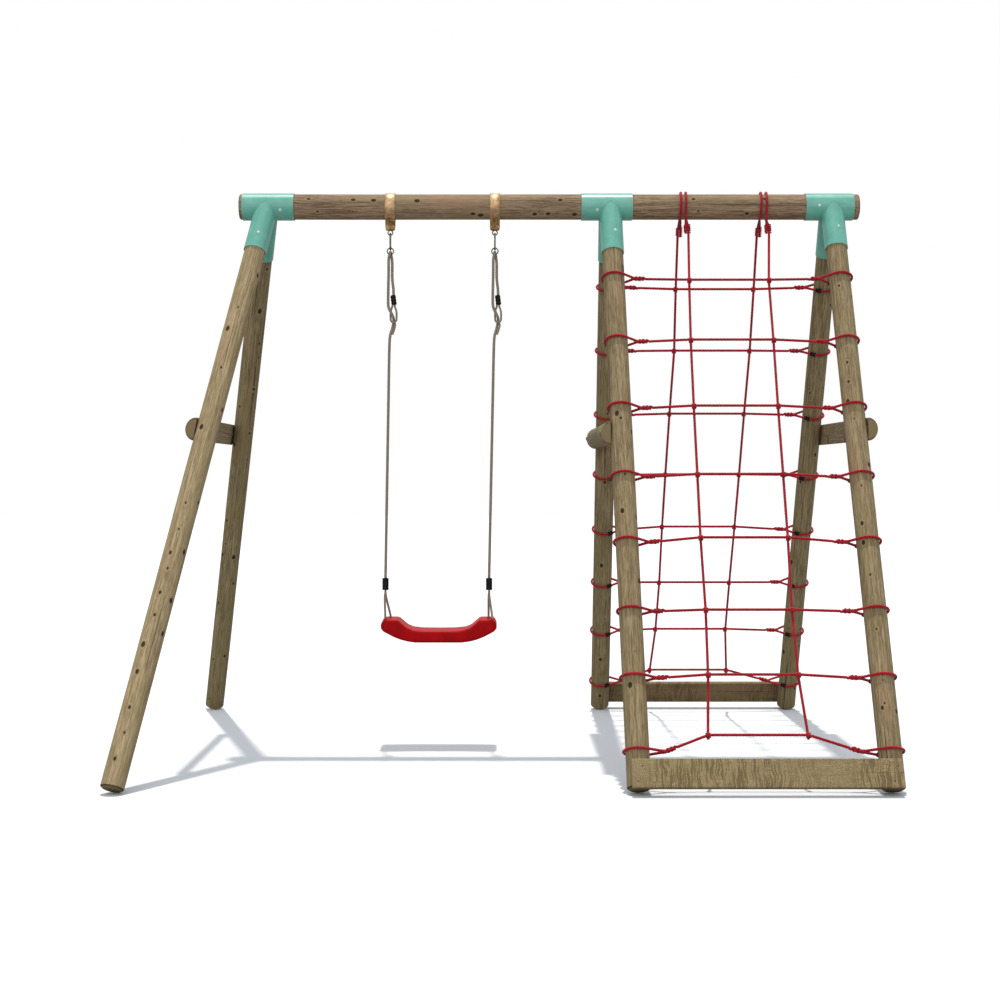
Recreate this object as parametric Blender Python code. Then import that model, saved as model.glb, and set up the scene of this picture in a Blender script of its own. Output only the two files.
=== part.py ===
"""Round-pole swing and climbing-net frame.

A top beam rests on three A-shaped pairs of legs in welded steel brackets.  A plastic swing seat
hangs in the left bay.  The right bay carries a rope climbing net on its front and its rear slope.
Metres, +Z up, +X along the beam, -Y to the front.  The origin is on the ground, under the middle
of the whole frame.
"""

import math

import bmesh
import bpy
from mathutils import Matrix, Vector

# Driving dimensions
BEAM_HEIGHT = 2.12  # beam axis above the ground
BEAM_RADIUS = 0.050
BEAM_SIDES = 32  # facets of the beam and of what goes round it
BEAM_LEFT, BEAM_RIGHT = -1.0619, 1.3731
LEG_RADIUS = 0.041
LEG_TOP = 0.078  # start of a leg, measured along it from the beam
LEG_CHAMFER = 0.006
FOOT_SPREAD = 1.074  # beam axis to leg axis on the ground, along Y
AXIS_OFFSET = 0.0088  # leg axes pass this far outside the beam axis
WALL = 0.003  # steel tube wall
FIT = 0.0003  # clearance between touching pieces
ROPE_GAP = 0.0006  # a wound rope's clearance

# Each pair of legs: x at the beam, x on the ground, bracket tube from and to, brace side and height
FRAMES = {
    "left": {"top": -0.9544, "foot": -1.3359, "tube": (-1.0503, -0.8469), "brace": -1, "high": 1.232},
    "middle": {"top": 0.3971, "foot": 0.4217, "tube": (0.2820, 0.4830), "brace": -1, "high": 1.217},
    "right": {"top": 1.2691, "foot": 1.2691, "tube": (1.1625, 1.3513), "brace": 1, "high": 1.232},
}
SOCKET_ENDS = {"left": 0.220, "middle": 0.2245, "right": 0.205}  # measured along the leg
SIDES = {"front": -1, "rear": 1}

BRACE_RADIUS, BRACE_DEPTH = 0.0425, 0.036  # braces are split logs
BRACE_OVERHANG = 0.035
BOARD_HEIGHT, BOARD_THICKNESS, BOARD_OVERHANG = 0.100, 0.020, 0.026
BOARD_AT = 0.978  # place of a ground board down the slope, 0 at the beam and 1 on the ground

NET_ROPE = 0.005  # radius of the net ropes
NET_ROWS = (0.147, 0.260, 0.380, 0.4995, 0.606, 0.723, 0.824, 0.915)  # down the slope
LOOP_DROPS = {  # how much lower the leg loops hang
    "front": (-0.0036, 0.0025, 0.0032, 0.0034, 0.0069, 0.0015, 0.0044, 0.024),
    "rear": (-0.0040, -0.0005, 0.0010, -0.0005, 0.0045, -0.0020, 0.0015, 0.0235),
}
LAYER = 0.0053  # rows lie this far outside the net's plane, uprights this far inside
LEG_SPLICE, LAST_SPLICE, BEAM_SPLICE = 0.075, 0.092, 0.094  # loop centre to splice
SPLICE_TAIL = 0.030
UPRIGHTS = {
    "front": {
        "left": (0.7003, (0.6905, 0.6829, 0.6796, 0.6779, 0.6758, 0.6788, 0.6738, 0.6615)),
        "right": (1.0164, (0.9971, 0.9957, 0.9918, 0.9896, 0.9872, 0.9806, 0.9832, 1.0001)),
    },
    "rear": {
        "left": (0.668, (0.6719, 0.6781, 0.6717, 0.6672, 0.6643, 0.6639, 0.6573, 0.6403)),
        "right": (0.9825, (0.9860, 0.9880, 0.9832, 0.9803, 0.9765, 0.9710, 0.9680, 0.9851)),
    },
}

# Swing
HANGERS = {"left": (-0.4693, -0.4886), "right": (-0.0574, -0.0803)}  # x at beam, x at lower crimp
STRAP_WIDTH = 0.040
YOKE_BOTTOM = 2.0275
EYE_HEIGHT, EYE_RADIUS, WIRE = 2.0186, 0.0095, 0.0025
RING_HEIGHT, RING_RADIUS = 1.9457, 0.0125
LINK_WIRE, LINK_BEND = 0.0035, 0.0115
GATE_WIRE = 0.0028
GATE_BOTTOM, GATE_TOP, GATE_HINGE = 1.9650, 2.0025, 1.9672
PIVOT_HEIGHT = EYE_HEIGHT - EYE_RADIUS
SWING_ROPE, BRIDLE_ROPE, LOOP_ROPE = 0.0055, 0.0045, 0.0040
UPPER_CRIMP = {"height": 1.7533, "radius": 0.011, "length": 0.038, "shift": 0.0125}
LOWER_CRIMP = {"height": 0.6343, "radius": 0.013, "length": 0.047}
SEAT_X, SEAT_DEPTH, SEAT_EDGE = -0.2766, 0.175, 0.009
SEAT_HOLE = {"out": 0.202, "splay": 0.008, "depth": 0.045, "floor": 0.477, "radius": 0.0052}

SLOPE = math.hypot(FOOT_SPREAD, BEAM_HEIGHT)

MATERIALS = {
    "timber": ((0.30, 0.235, 0.135), 0.75, 0.0),
    "teal_steel": ((0.13, 0.45, 0.35), 0.40, 0.2),
    "brass": ((0.62, 0.44, 0.16), 0.32, 0.9),
    "zinc": ((0.60, 0.61, 0.62), 0.35, 0.9),
    "red_rope": ((0.36, 0.02, 0.03), 0.85, 0.0),
    "hemp_rope": ((0.36, 0.28, 0.18), 0.90, 0.0),
    "black_plastic": ((0.02, 0.02, 0.02), 0.45, 0.0),
    "red_plastic": ((0.52, 0.01, 0.02), 0.28, 0.0),
}


def make_material(name):
    """A Principled material from the table above."""
    colour, roughness, metallic = MATERIALS[name]
    material = bpy.data.materials.new(name)
    material.use_nodes = True
    shader = material.node_tree.nodes["Principled BSDF"]
    shader.inputs["Base Color"].default_value = (*colour, 1.0)
    shader.inputs["Roughness"].default_value = roughness
    shader.inputs["Metallic"].default_value = metallic
    return material


def add_object(name, data, material, place=None, parent=None):
    """Link an object and put it at place, a matrix in the world or in its parent empty."""
    thing = bpy.data.objects.new(name, data)
    bpy.context.collection.objects.link(thing)
    if material:
        data.materials.append(bpy.data.materials[material])
    thing.parent = parent
    thing.matrix_basis = place or Matrix()
    return thing


def mesh_from(bm, smooth_angle=35):
    """Finish a bmesh as a mesh with outward faces and smooth shading between sharp edges."""
    bmesh.ops.recalc_face_normals(bm, faces=bm.faces)
    mesh = bpy.data.meshes.new("shape")
    bm.to_mesh(mesh)
    bm.free()
    mesh.shade_smooth()
    mesh.set_sharp_from_angle(angle=math.radians(smooth_angle))
    return mesh


def turned(profile, segments=24):
    """A solid of revolution about Z from (radius, z) points, closed by flat ends."""
    bm = bmesh.new()
    rings = []
    for radius, height in profile:
        turn = [2 * math.pi * i / segments for i in range(segments)]
        rings.append([bm.verts.new((radius * math.cos(a), radius * math.sin(a), height)) for a in turn])
    for low, high in zip(rings, rings[1:]):
        for i in range(segments):
            j = (i + 1) % segments
            bm.faces.new((low[i], low[j], high[j], high[i]))
    bm.faces.new(rings[0])
    bm.faces.new(rings[-1])
    return mesh_from(bm)


def prism(outline, low, high, axis):
    """Extrude an outline of (a, b) points from low to high along X or Y."""
    bm = bmesh.new()
    corner = {"X": lambda a, b, c: (c, a, b), "Y": lambda a, b, c: (a, c, b)}[axis]
    ends = [[bm.verts.new(corner(a, b, c)) for a, b in outline] for c in (low, high)]
    bm.faces.new(ends[0])
    bm.faces.new(ends[1])
    for i in range(len(outline)):
        j = (i + 1) % len(outline)
        bm.faces.new((ends[0][i], ends[0][j], ends[1][j], ends[1][i]))
    return mesh_from(bm)


def torus(big, small, turns=18, sides=6):
    """A ring in the XZ plane, whose hole runs along Y."""
    bm = bmesh.new()
    loops = []
    for i in range(turns):
        around = 2 * math.pi * i / turns
        loop = []
        for k in range(sides):
            across = 2 * math.pi * k / sides
            reach = big + small * math.cos(across)
            place = (reach * math.cos(around), small * math.sin(across), reach * math.sin(around))
            loop.append(bm.verts.new(place))
        loops.append(loop)
    for i in range(turns):
        here, there = loops[i], loops[(i + 1) % turns]
        for k in range(sides):
            m = (k + 1) % sides
            bm.faces.new((here[k], here[m], there[m], there[k]))
    return mesh_from(bm, 80)


def cylinder_along(name, start, end, radius, material=None, segments=24):
    """A plain cylinder between two points, used as a solid or as a cutter."""
    axis = end - start
    mesh = turned([(radius, 0.0), (radius, axis.length)], segments)
    place = Matrix.Translation(start) @ axis.to_track_quat("Z", "Y").to_matrix().to_4x4()
    return add_object(name, mesh, material, place)


def combine(thing, other, operation):
    """Add a Boolean modifier and turn the other object into a hidden guide."""
    modifier = thing.modifiers.new(operation.lower(), "BOOLEAN")
    modifier.operation = operation
    modifier.solver = "EXACT"
    modifier.object = other
    other.hide_render = True
    other.display_type = "WIRE"


def tube(name, points, radius, material, parent=None, sides=2):
    """A rope or wire through the points: a poly curve with a round bevel and filled caps."""
    curve = bpy.data.curves.new(name, "CURVE")
    curve.dimensions = "3D"
    curve.bevel_depth = radius
    curve.bevel_resolution = sides
    curve.use_fill_caps = True
    curve.resolution_u = 1
    curve.render_resolution_u = 0
    spline = curve.splines.new("POLY")
    spline.points.add(len(points) - 1)
    for slot, point in zip(spline.points, points):
        slot.co = (*point, 1.0)
    return add_object(name, curve, material, None, parent)


def smooth_path(points, steps):
    """Points on a smooth curve (Catmull-Rom) through the given ones."""
    knots = [Vector(p) for p in points]
    padded = [2 * knots[0] - knots[1], *knots, 2 * knots[-1] - knots[-2]]
    path = []
    for before, start, end, after in zip(padded, padded[1:], padded[2:], padded[3:]):
        for i in range(steps):
            t = i / steps
            path.append(
                0.5
                * (
                    2 * start
                    + (end - before) * t
                    + (2 * before - 5 * start + 4 * end - after) * t**2
                    + (3 * start - before - 3 * end + after) * t**3
                )
            )
    path.append(knots[-1])
    return path


def outward(side):
    """Unit vector square to the slope of a side, pointing out and up."""
    return Vector((0.0, side * BEAM_HEIGHT, FOOT_SPREAD)) / SLOPE


def slope_point(x, down, side, out=0.0):
    """A point on a side's slope: down is 0 at the beam and 1 on the ground."""
    base = Vector((x, side * FOOT_SPREAD * down, BEAM_HEIGHT * (1 - down)))
    return base + outward(side) * (AXIS_OFFSET + out)


def leg_x(frame, down):
    """X of a leg's axis at a place down the slope."""
    return frame["top"] + (frame["foot"] - frame["top"]) * down


def leg_axis(frame, side):
    """Start point at the beam and unit direction of a leg."""
    start = slope_point(frame["top"], 0.0, side)
    return start, (slope_point(frame["foot"], 1.0, side) - start).normalized()


def make_beam():
    """The round top beam, with a small chamfer at both ends."""
    length, chamfer = BEAM_RIGHT - BEAM_LEFT, 0.003
    inner = BEAM_RADIUS - chamfer
    profile = [(inner, 0.0), (BEAM_RADIUS, chamfer), (BEAM_RADIUS, length - chamfer), (inner, length)]
    place = Matrix.Translation((BEAM_LEFT, 0, BEAM_HEIGHT)) @ Matrix.Rotation(math.pi / 2, 4, "Y")
    add_object("top_beam", turned(profile, BEAM_SIDES), "timber", place)


def make_leg(name, frame, side):
    """A round leg, cut square and chamfered, whose lowest rim point touches the ground."""
    start, along = leg_axis(frame, side)
    rim = LEG_RADIUS - LEG_CHAMFER
    end_height = rim * math.sqrt(1 - along.z**2)
    length = (start.z - end_height) / -along.z
    profile = [(LEG_RADIUS, LEG_TOP), (LEG_RADIUS, length - LEG_CHAMFER), (rim, length)]
    place = Matrix.Translation(start) @ along.to_track_quat("Z", "Y").to_matrix().to_4x4()
    add_object(name, turned(profile), "timber", place)


def make_bracket(name, frame):
    """Beam tube with two leg sockets welded on, all bored through."""
    low, high = frame["tube"]
    socket_end = SOCKET_ENDS[name.removeprefix("bracket_")]
    centre = Vector((0, 0, BEAM_HEIGHT))
    left, right = centre + Vector((low, 0, 0)), centre + Vector((high, 0, 0))
    outer = BEAM_RADIUS + FIT + WALL
    bracket = cylinder_along(name, left, right, outer, "teal_steel", BEAM_SIDES)
    reach = Vector((0.01, 0, 0))
    for label, side in SIDES.items():
        start, along = leg_axis(frame, side)
        socket_radius = LEG_RADIUS + FIT + WALL
        socket = cylinder_along(f"{name}_{label}_socket", start, start + along * socket_end, socket_radius)
        combine(bracket, socket, "UNION")
    for label, side in SIDES.items():
        start, along = leg_axis(frame, side)
        bore_from, bore_to = start + along * (LEG_TOP - FIT), start + along * (socket_end + 0.02)
        bore = cylinder_along(f"{name}_{label}_bore", bore_from, bore_to, LEG_RADIUS + FIT)
        combine(bracket, bore, "DIFFERENCE")
    bore = cylinder_along(f"{name}_bore", left - reach, right + reach, BEAM_RADIUS + FIT, None, BEAM_SIDES)
    combine(bracket, bore, "DIFFERENCE")


def make_brace(name, frame):
    """A split log across a pair of legs, its flat side against them."""
    down = 1 - (frame["high"] - outward(1).z * AXIS_OFFSET) / BEAM_HEIGHT
    lean = math.atan2(frame["top"] - frame["foot"], BEAM_HEIGHT)
    side = frame["brace"]
    half = FOOT_SPREAD * down + BRACE_OVERHANG
    turns = [math.pi * i / 14 for i in range(15)]
    outline = [(side * BRACE_DEPTH * math.sin(a), BRACE_RADIUS * math.cos(a)) for a in turns]
    mesh = prism(outline, -half, half, "Y")
    tilt = Matrix.Rotation(lean, 4, "Y")
    face = leg_x(frame, down) + side * (LEG_RADIUS + FIT) / math.cos(lean)
    place = Matrix.Translation((face, 0, frame["high"])) @ tilt
    brace = add_object(name, mesh, "timber", place)
    rounding = brace.modifiers.new("edges", "BEVEL")
    rounding.width = 0.002
    rounding.segments = 1
    rounding.limit_method = "ANGLE"


def make_board(name, side):
    """A sawn plank across the feet of the net bay, on the outer side of its legs."""
    left = leg_x(FRAMES["middle"], BOARD_AT) - BOARD_OVERHANG
    right = leg_x(FRAMES["right"], BOARD_AT) + BOARD_OVERHANG
    inner, half = LEG_RADIUS + FIT, BOARD_HEIGHT / 2
    outline = [(inner, -half), (inner + BOARD_THICKNESS, -half), (inner + BOARD_THICKNESS, half), (inner, half)]
    origin = slope_point(0.0, BOARD_AT, side)
    out, up = outward(side), Vector((0, -side * FOOT_SPREAD, BEAM_HEIGHT)) / SLOPE
    shifts = [out * a + up * b + origin for a, b in outline]
    mesh = prism([(p.y, p.z) for p in shifts], left, right, "X")
    board = add_object(name, mesh, "timber")
    rounding = board.modifiers.new("edges", "BEVEL")
    rounding.width = 0.0015
    rounding.segments = 1


def loop_round(radius, splice, offset, steps):
    """Flat points of a rope loop round the origin, from the splice and back to it.

    It leaves the splice at +offset, turns round the origin and comes back at -offset.
    """
    reach = math.hypot(splice, offset)
    start = math.atan2(offset, splice) + math.acos(radius / reach)
    sweep = 2 * math.pi - 2 * start
    grown = radius / math.cos(sweep / steps / 2)
    arc = [start + sweep * i / steps for i in range(steps + 1)]
    turn = [(grown * math.cos(a), grown * math.sin(a)) for a in arc]
    return [(splice, offset), *turn, (splice, -offset)]


def make_row(name, side, index):
    """One net row: looped round the middle leg, across the bay and round the right leg."""
    down = NET_ROWS[index] + LOOP_DROPS[LABEL[side]][index]
    splice = LAST_SPLICE if index == len(NET_ROWS) - 1 else LEG_SPLICE
    radius = LEG_RADIUS + NET_ROPE + ROPE_GAP
    flat = loop_round(radius, splice, LAYER, 9)
    flat = [*flat, (splice + SPLICE_TAIL, -LAYER)]
    middle, right = leg_x(FRAMES["middle"], down), leg_x(FRAMES["right"], down)
    first = [slope_point(middle + a, down, side, out) for a, out in reversed(flat)]
    other = [slope_point(right - a, down, side, out) for a, out in flat]
    crossings = [places[index] for _, places in UPRIGHTS[LABEL[side]].values()]
    corners = [slope_point(x, NET_ROWS[index], side, LAYER) for x in crossings]
    tube(name, [*first, *corners, *other], NET_ROPE, "red_rope", None, 1)


def make_upright(name, side, top_x, crossings):
    """One net upright: looped over the beam, then down behind every row.

    The loop's short end comes down beside the standing strand, and follows it to its splice's end.
    """
    down_slope = Vector((0, side * FOOT_SPREAD, -BEAM_HEIGHT)) / SLOPE
    beam = Vector((0, 0, BEAM_HEIGHT))
    radius = BEAM_RADIUS + NET_ROPE + ROPE_GAP
    flat = loop_round(radius, BEAM_SPLICE, 0.0, 10)
    flat = [(BEAM_SPLICE + SPLICE_TAIL, 0.0), *flat]
    strand_gap = side * (2 * NET_ROPE + ROPE_GAP)
    spread = (crossings[0] - top_x) * SPLICE_TAIL / (NET_ROWS[0] * SLOPE - BEAM_SPLICE)
    points = []
    for i, (along, out) in enumerate(flat):
        drift = strand_gap * (1 - max(0, i - 1) / (len(flat) - 2)) + (spread if i == 0 else 0.0)
        points.append(beam + Vector((top_x + drift, 0, 0)) + down_slope * along + outward(side) * out)
    for x, down in zip(crossings, NET_ROWS):
        points.append(slope_point(x, down, side, -LAYER))
    end = slope_point(crossings[-1], NET_ROWS[-1], side, -LAYER) + down_slope * 0.012
    tube(name, [*points, end], NET_ROPE, "red_rope", None, 1)


LABEL = {side: label for label, side in SIDES.items()}


def make_nets():
    """Both climbing nets."""
    for label, side in SIDES.items():
        for place, (top_x, crossings) in UPRIGHTS[label].items():
            make_upright(f"{label}_net_upright_{place}", side, top_x, crossings)
        for index in range(len(NET_ROWS)):
            make_row(f"{label}_net_row_{index + 1}", side, index)


def make_eye(name, x, material="zinc", grow=0.0, root=0.010):
    """A ring with a short shank on top, which is held in the strap's yoke."""
    wire = WIRE + grow
    place = Matrix.Translation((x, 0, EYE_HEIGHT))
    eye = add_object(name, torus(EYE_RADIUS, wire), material, place)
    foot = Vector((x, 0, EYE_HEIGHT + EYE_RADIUS))
    shank = cylinder_along(f"{name}_shank", foot, foot + Vector((0, 0, root + grow)), wire, None, 12)
    combine(eye, shank, "UNION")
    return eye


def make_hanger(label, x):
    """A brass strap round the beam with a tapered yoke below, and the eye in it."""
    name = f"hanger_strap_{label}"
    half = STRAP_WIDTH / 2
    centre = Vector((x, 0, BEAM_HEIGHT))
    sideways = Vector((half, 0, 0))
    strap = cylinder_along(name, centre - sideways, centre + sideways, BEAM_RADIUS + FIT + WALL, "brass", BEAM_SIDES)
    top = BEAM_HEIGHT - BEAM_RADIUS + 0.012
    shoulder, corner = half - 0.0005, half - 0.004
    outline = [(-shoulder, top), (-shoulder, 2.045), (-corner, YOKE_BOTTOM + 0.003), (-corner + 0.004, YOKE_BOTTOM)]
    outline = [*outline, *[(-a, b) for a, b in reversed(outline)]]
    yoke = add_object(f"{name}_yoke", prism([(x + a, b) for a, b in outline], -0.008, 0.008, "Y"), None)
    combine(strap, yoke, "UNION")
    wings = [(-0.034, 2.079), (0.034, 2.079), (0.008, 2.050), (-0.008, 2.050)]
    flare = add_object(f"{name}_flare", prism(wings, x - shoulder, x + shoulder, "X"), None)
    combine(strap, flare, "UNION")
    reach = Vector((0.01, 0, 0))
    low, high = centre - sideways - reach, centre + sideways + reach
    bore = cylinder_along(f"{name}_bore", low, high, BEAM_RADIUS + FIT, None, BEAM_SIDES)
    combine(strap, bore, "DIFFERENCE")
    pocket = make_eye(f"{name}_pocket", x, None, 0.0004)
    combine(strap, pocket, "DIFFERENCE")
    make_eye(f"hanger_eye_{label}", x)


def make_snap_link(label, x, swing):
    """An oval spring-gate link in the YZ plane: its open body and its gate."""
    reach = WIRE + FIT + LINK_WIRE
    top = PIVOT_HEIGHT + reach - LINK_BEND
    bottom = RING_HEIGHT + RING_RADIUS - reach + LINK_BEND
    turns = [math.pi * i / 8 for i in range(9)]
    upper = [(LINK_BEND * math.cos(a), top + LINK_BEND * math.sin(a)) for a in turns]
    lower = [(-LINK_BEND * math.cos(a), bottom - LINK_BEND * math.sin(a)) for a in turns]
    route = [*upper, *lower, (LINK_BEND, GATE_BOTTOM - 0.001)]
    pivot = swing.location
    points = [Vector((x, y, z)) - pivot for y, z in route]
    tube(f"snap_link_{label}", points, LINK_WIRE, "zinc", swing)
    hinge = bpy.data.objects.new(f"gate_pivot_{label}", None)
    hinge.location = (x, LINK_BEND, GATE_HINGE)
    bpy.context.collection.objects.link(hinge)
    gate = [(0, 0, GATE_BOTTOM - GATE_HINGE), (0, 0, GATE_TOP - GATE_HINGE)]
    tube(f"snap_gate_{label}", gate, GATE_WIRE, "zinc", hinge)
    place = Matrix.Translation(Vector((x, 0, RING_HEIGHT)) - pivot)
    add_object(f"rope_ring_{label}", torus(RING_RADIUS, WIRE), "zinc", place, swing)


def make_swing_rope(label, x_top, x_low, swing):
    """Seat rope: up from the lower crimp, through its own loop, over the ring and back down."""
    low = LOWER_CRIMP["height"] + LOWER_CRIMP["length"] / 2 + FIT
    crimp_top = UPPER_CRIMP["height"] + UPPER_CRIMP["length"] / 2 + 2 * FIT
    lean = (x_low - x_top + 0.0036) / (1.600 - low)
    straight = [(x_low - lean * (z - low), 0, z) for z in (low, 0.85, 1.10, 1.35, 1.55)]
    through = [
        (x_top - 0.0015, 0.0030, 1.6100),
        (x_top + 0.0060, 0.0115, 1.6400),
        (x_top + 0.0115, 0.0128, 1.6640),
        (x_top + 0.0125, 0.0085, 1.6755),
        (x_top + 0.0125, 0.0000, 1.6800),
        (x_top + 0.0105, -0.0095, 1.6870),
        (x_top + 0.0050, -0.0132, 1.7000),
        (x_top - 0.0050, -0.0120, 1.7200),
        (x_top - 0.0085, -0.0070, 1.7480),
        (x_top - 0.0068, -0.0050, 1.8500),
        (x_top - 0.0062, -0.0080, 1.9100),
    ]
    over = [
        (x_top - 0.0030, -0.0100, 1.9300),
        (x_top - 0.0010, -0.0070, 1.9392),
        (x_top, 0.0, 1.9422),
        (x_top + 0.0010, 0.0070, 1.9392),
        (x_top + 0.0030, 0.0100, 1.9300),
    ]
    back = [
        (x_top + 0.0070, 0.0070, 1.9000),
        (x_top + 0.0074, 0.0030, 1.8400),
        (x_top + 0.0120, 0.0, 1.7950),
        (x_top + UPPER_CRIMP["shift"], 0.0, crimp_top),
    ]
    path = smooth_path([*straight, *through, *over, *back], 2)
    points = [p - swing.location for p in path]
    tube(f"swing_rope_{label}", points, SWING_ROPE, "hemp_rope", swing)


def make_adjuster_loop(label, x, swing):
    """The small eye below the upper crimp that grips the seat rope."""
    centre = x + UPPER_CRIMP["shift"]
    top = UPPER_CRIMP["height"] - UPPER_CRIMP["length"] / 2 - FIT
    wide, bottom = 0.0115, 1.6660
    half = [(0.0050, top), (0.0050, top - 0.006), (wide, 1.707), (wide, bottom + wide)]
    bend = [math.pi * i / 6 for i in range(1, 6)]
    arc = [(wide * math.cos(a), bottom + wide - wide * math.sin(a)) for a in bend]
    route = [*half, *arc, *[(-a, z) for a, z in reversed(half)]]
    points = [Vector((centre + a, 0, z)) - swing.location for a, z in route]
    tube(f"adjuster_loop_{label}", points, LOOP_ROPE, "hemp_rope", swing)


def make_crimp(name, x, sizes, swing):
    """A rope crimp: a short barrel with eased ends."""
    radius, half, ease = sizes["radius"], sizes["length"] / 2, 0.002
    profile = [(radius - ease, -half), (radius, -half + ease), (radius, half - ease), (radius - ease, half)]
    place = Matrix.Translation(Vector((x, 0, sizes["height"])) - swing.location)
    add_object(name, turned(profile, 20), "black_plastic", place, swing)


def hole_places(side):
    """The two rope holes at one end of the seat, front and rear, as (x, y)."""
    out, splay = SEAT_HOLE["out"], SEAT_HOLE["splay"]
    return [
        (SEAT_X + side * (out + splay), -SEAT_HOLE["depth"]),
        (SEAT_X + side * (out - splay), SEAT_HOLE["depth"]),
    ]


def make_bridle(label, x, side, swing):
    """The rope below the lower crimp, spread to the two holes at one end of the seat."""
    top = LOWER_CRIMP["height"] - LOWER_CRIMP["length"] / 2 - FIT - BRIDLE_ROPE
    low = SEAT_HOLE["floor"] + FIT
    legs = []
    for (foot_x, foot_y), turn in zip(hole_places(side), (-1, 1)):
        mouth = Vector((foot_x, foot_y, low + 0.027))
        shoulder = Vector((x - side * turn * 0.002, turn * 0.0130, top - 0.026))
        bend = mouth.lerp(shoulder, 0.12)
        near = (x, turn * 0.0055, top - 0.005)
        legs.append([(foot_x, foot_y, low), (foot_x, foot_y, low + 0.014), mouth, bend, shoulder, near])
    knots = [*legs[0], (x, 0.0, top), *reversed(legs[1])]
    points = [p - swing.location for p in smooth_path(knots, 2)]
    tube(f"seat_bridle_{label}", points, BRIDLE_ROPE, "hemp_rope", swing)


def make_seat(swing):
    """The moulded seat: raised ends, a dipped top and an underside that rises at both ends."""
    top = [(0.212, 0.5005), (0.161, 0.5005), (0.144, 0.486), (0.127, 0.471), (0.104, 0.461), (0.064, 0.4565)]
    end = [(0.2262, 0.480), (0.2235, 0.461)]
    under = [(0.200, 0.4450), (0.176, 0.4325), (0.151, 0.4225), (0.120, 0.4145), (0.090, 0.4105)]
    right = [*reversed(top), *end, *under]
    outline = [(SEAT_X + a, b) for a, b in right] + [(SEAT_X - a, b) for a, b in reversed(right)]
    half = SEAT_DEPTH / 2
    place = Matrix.Translation(-swing.location)
    seat = add_object("swing_seat", prism(outline, -half, half, "Y"), "red_plastic", place, swing)
    rounding = seat.modifiers.new("edges", "BEVEL")
    rounding.width = SEAT_EDGE
    rounding.segments = 3
    rounding.limit_method = "ANGLE"
    rounding.angle_limit = math.radians(60)
    for side in (-1, 1):
        for number, (x, y) in enumerate(hole_places(side)):
            floor, above = Vector((x, y, SEAT_HOLE["floor"])), Vector((x, y, 0.52))
            name = f"seat_hole_{number}_{'left' if side < 0 else 'right'}"
            combine(seat, cylinder_along(name, floor, above, SEAT_HOLE["radius"], None, 12), "DIFFERENCE")


def make_swing():
    """Both hangers, and everything that swings below them, on one pivot empty."""
    middle = sum(x for x, _ in HANGERS.values()) / 2
    swing = bpy.data.objects.new("swing_pivot", None)
    swing.location = (middle, 0, PIVOT_HEIGHT)
    bpy.context.collection.objects.link(swing)
    for (label, (x_top, x_low)), side in zip(HANGERS.items(), (-1, 1)):
        make_hanger(label, x_top)
        make_snap_link(label, x_top, swing)
        make_swing_rope(label, x_top, x_low, swing)
        make_adjuster_loop(label, x_top, swing)
        make_crimp(f"upper_crimp_{label}", x_top + UPPER_CRIMP["shift"], UPPER_CRIMP, swing)
        make_crimp(f"lower_crimp_{label}", x_low, LOWER_CRIMP, swing)
        make_bridle(label, x_low, side, swing)
    make_seat(swing)


def build():
    """Empty the scene and make every piece."""
    for thing in list(bpy.data.objects):
        bpy.data.objects.remove(thing)
    for name in MATERIALS:
        make_material(name)
    make_beam()
    for label, frame in FRAMES.items():
        make_bracket(f"bracket_{label}", frame)
        make_brace(f"brace_{label}", frame)
        for side_label, side in SIDES.items():
            make_leg(f"leg_{label}_{side_label}", frame, side)
    for label, side in SIDES.items():
        make_board(f"ground_board_{label}", side)
    make_nets()
    make_swing()


build()
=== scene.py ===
"""Looks of the swing and climbing-net frame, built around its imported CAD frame.

Metres, +Z up, +X along the beam, -Y to the front.  The wood, ropes, steel and plastic pieces below
stand for the plain CAD solids; the screws, bolts, knots, splices and ferrules are added to them.
"""

import random
from math import acos, asin, atan2, copysign, cos, hypot, pi, radians, sin, sqrt

import bmesh
import bpy
from mathutils import Matrix, Vector, noise


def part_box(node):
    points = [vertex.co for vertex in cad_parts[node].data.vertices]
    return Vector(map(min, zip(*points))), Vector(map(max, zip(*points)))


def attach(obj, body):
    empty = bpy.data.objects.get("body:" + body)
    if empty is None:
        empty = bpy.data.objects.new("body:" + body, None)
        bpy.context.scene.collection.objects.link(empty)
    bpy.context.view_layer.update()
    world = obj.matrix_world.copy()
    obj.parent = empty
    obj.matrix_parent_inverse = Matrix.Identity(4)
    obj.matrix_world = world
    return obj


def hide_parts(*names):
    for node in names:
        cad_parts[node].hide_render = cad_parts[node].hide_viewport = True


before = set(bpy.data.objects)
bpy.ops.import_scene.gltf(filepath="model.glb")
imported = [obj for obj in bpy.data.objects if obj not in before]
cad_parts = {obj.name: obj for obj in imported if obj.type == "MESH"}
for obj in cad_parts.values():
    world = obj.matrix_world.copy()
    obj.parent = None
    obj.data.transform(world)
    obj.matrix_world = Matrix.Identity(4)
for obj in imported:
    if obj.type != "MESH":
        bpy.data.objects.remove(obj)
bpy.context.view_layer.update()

# Driving dimensions, as in the CAD model
BEAM_HEIGHT, BEAM_RADIUS = 2.12, 0.050
LEG_RADIUS, LEG_CHAMFER, FOOT_SPREAD, AXIS_OFFSET = 0.041, 0.006, 1.074, 0.0088
WALL, FIT, ROPE_GAP = 0.003, 0.0003, 0.0006
LEG_TOP, SOCKET_ENDS = 0.078, {"left": 0.220, "middle": 0.2245, "right": 0.205}
SLOPE = hypot(FOOT_SPREAD, BEAM_HEIGHT)
SIDES = {"front": -1, "rear": 1}
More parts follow.
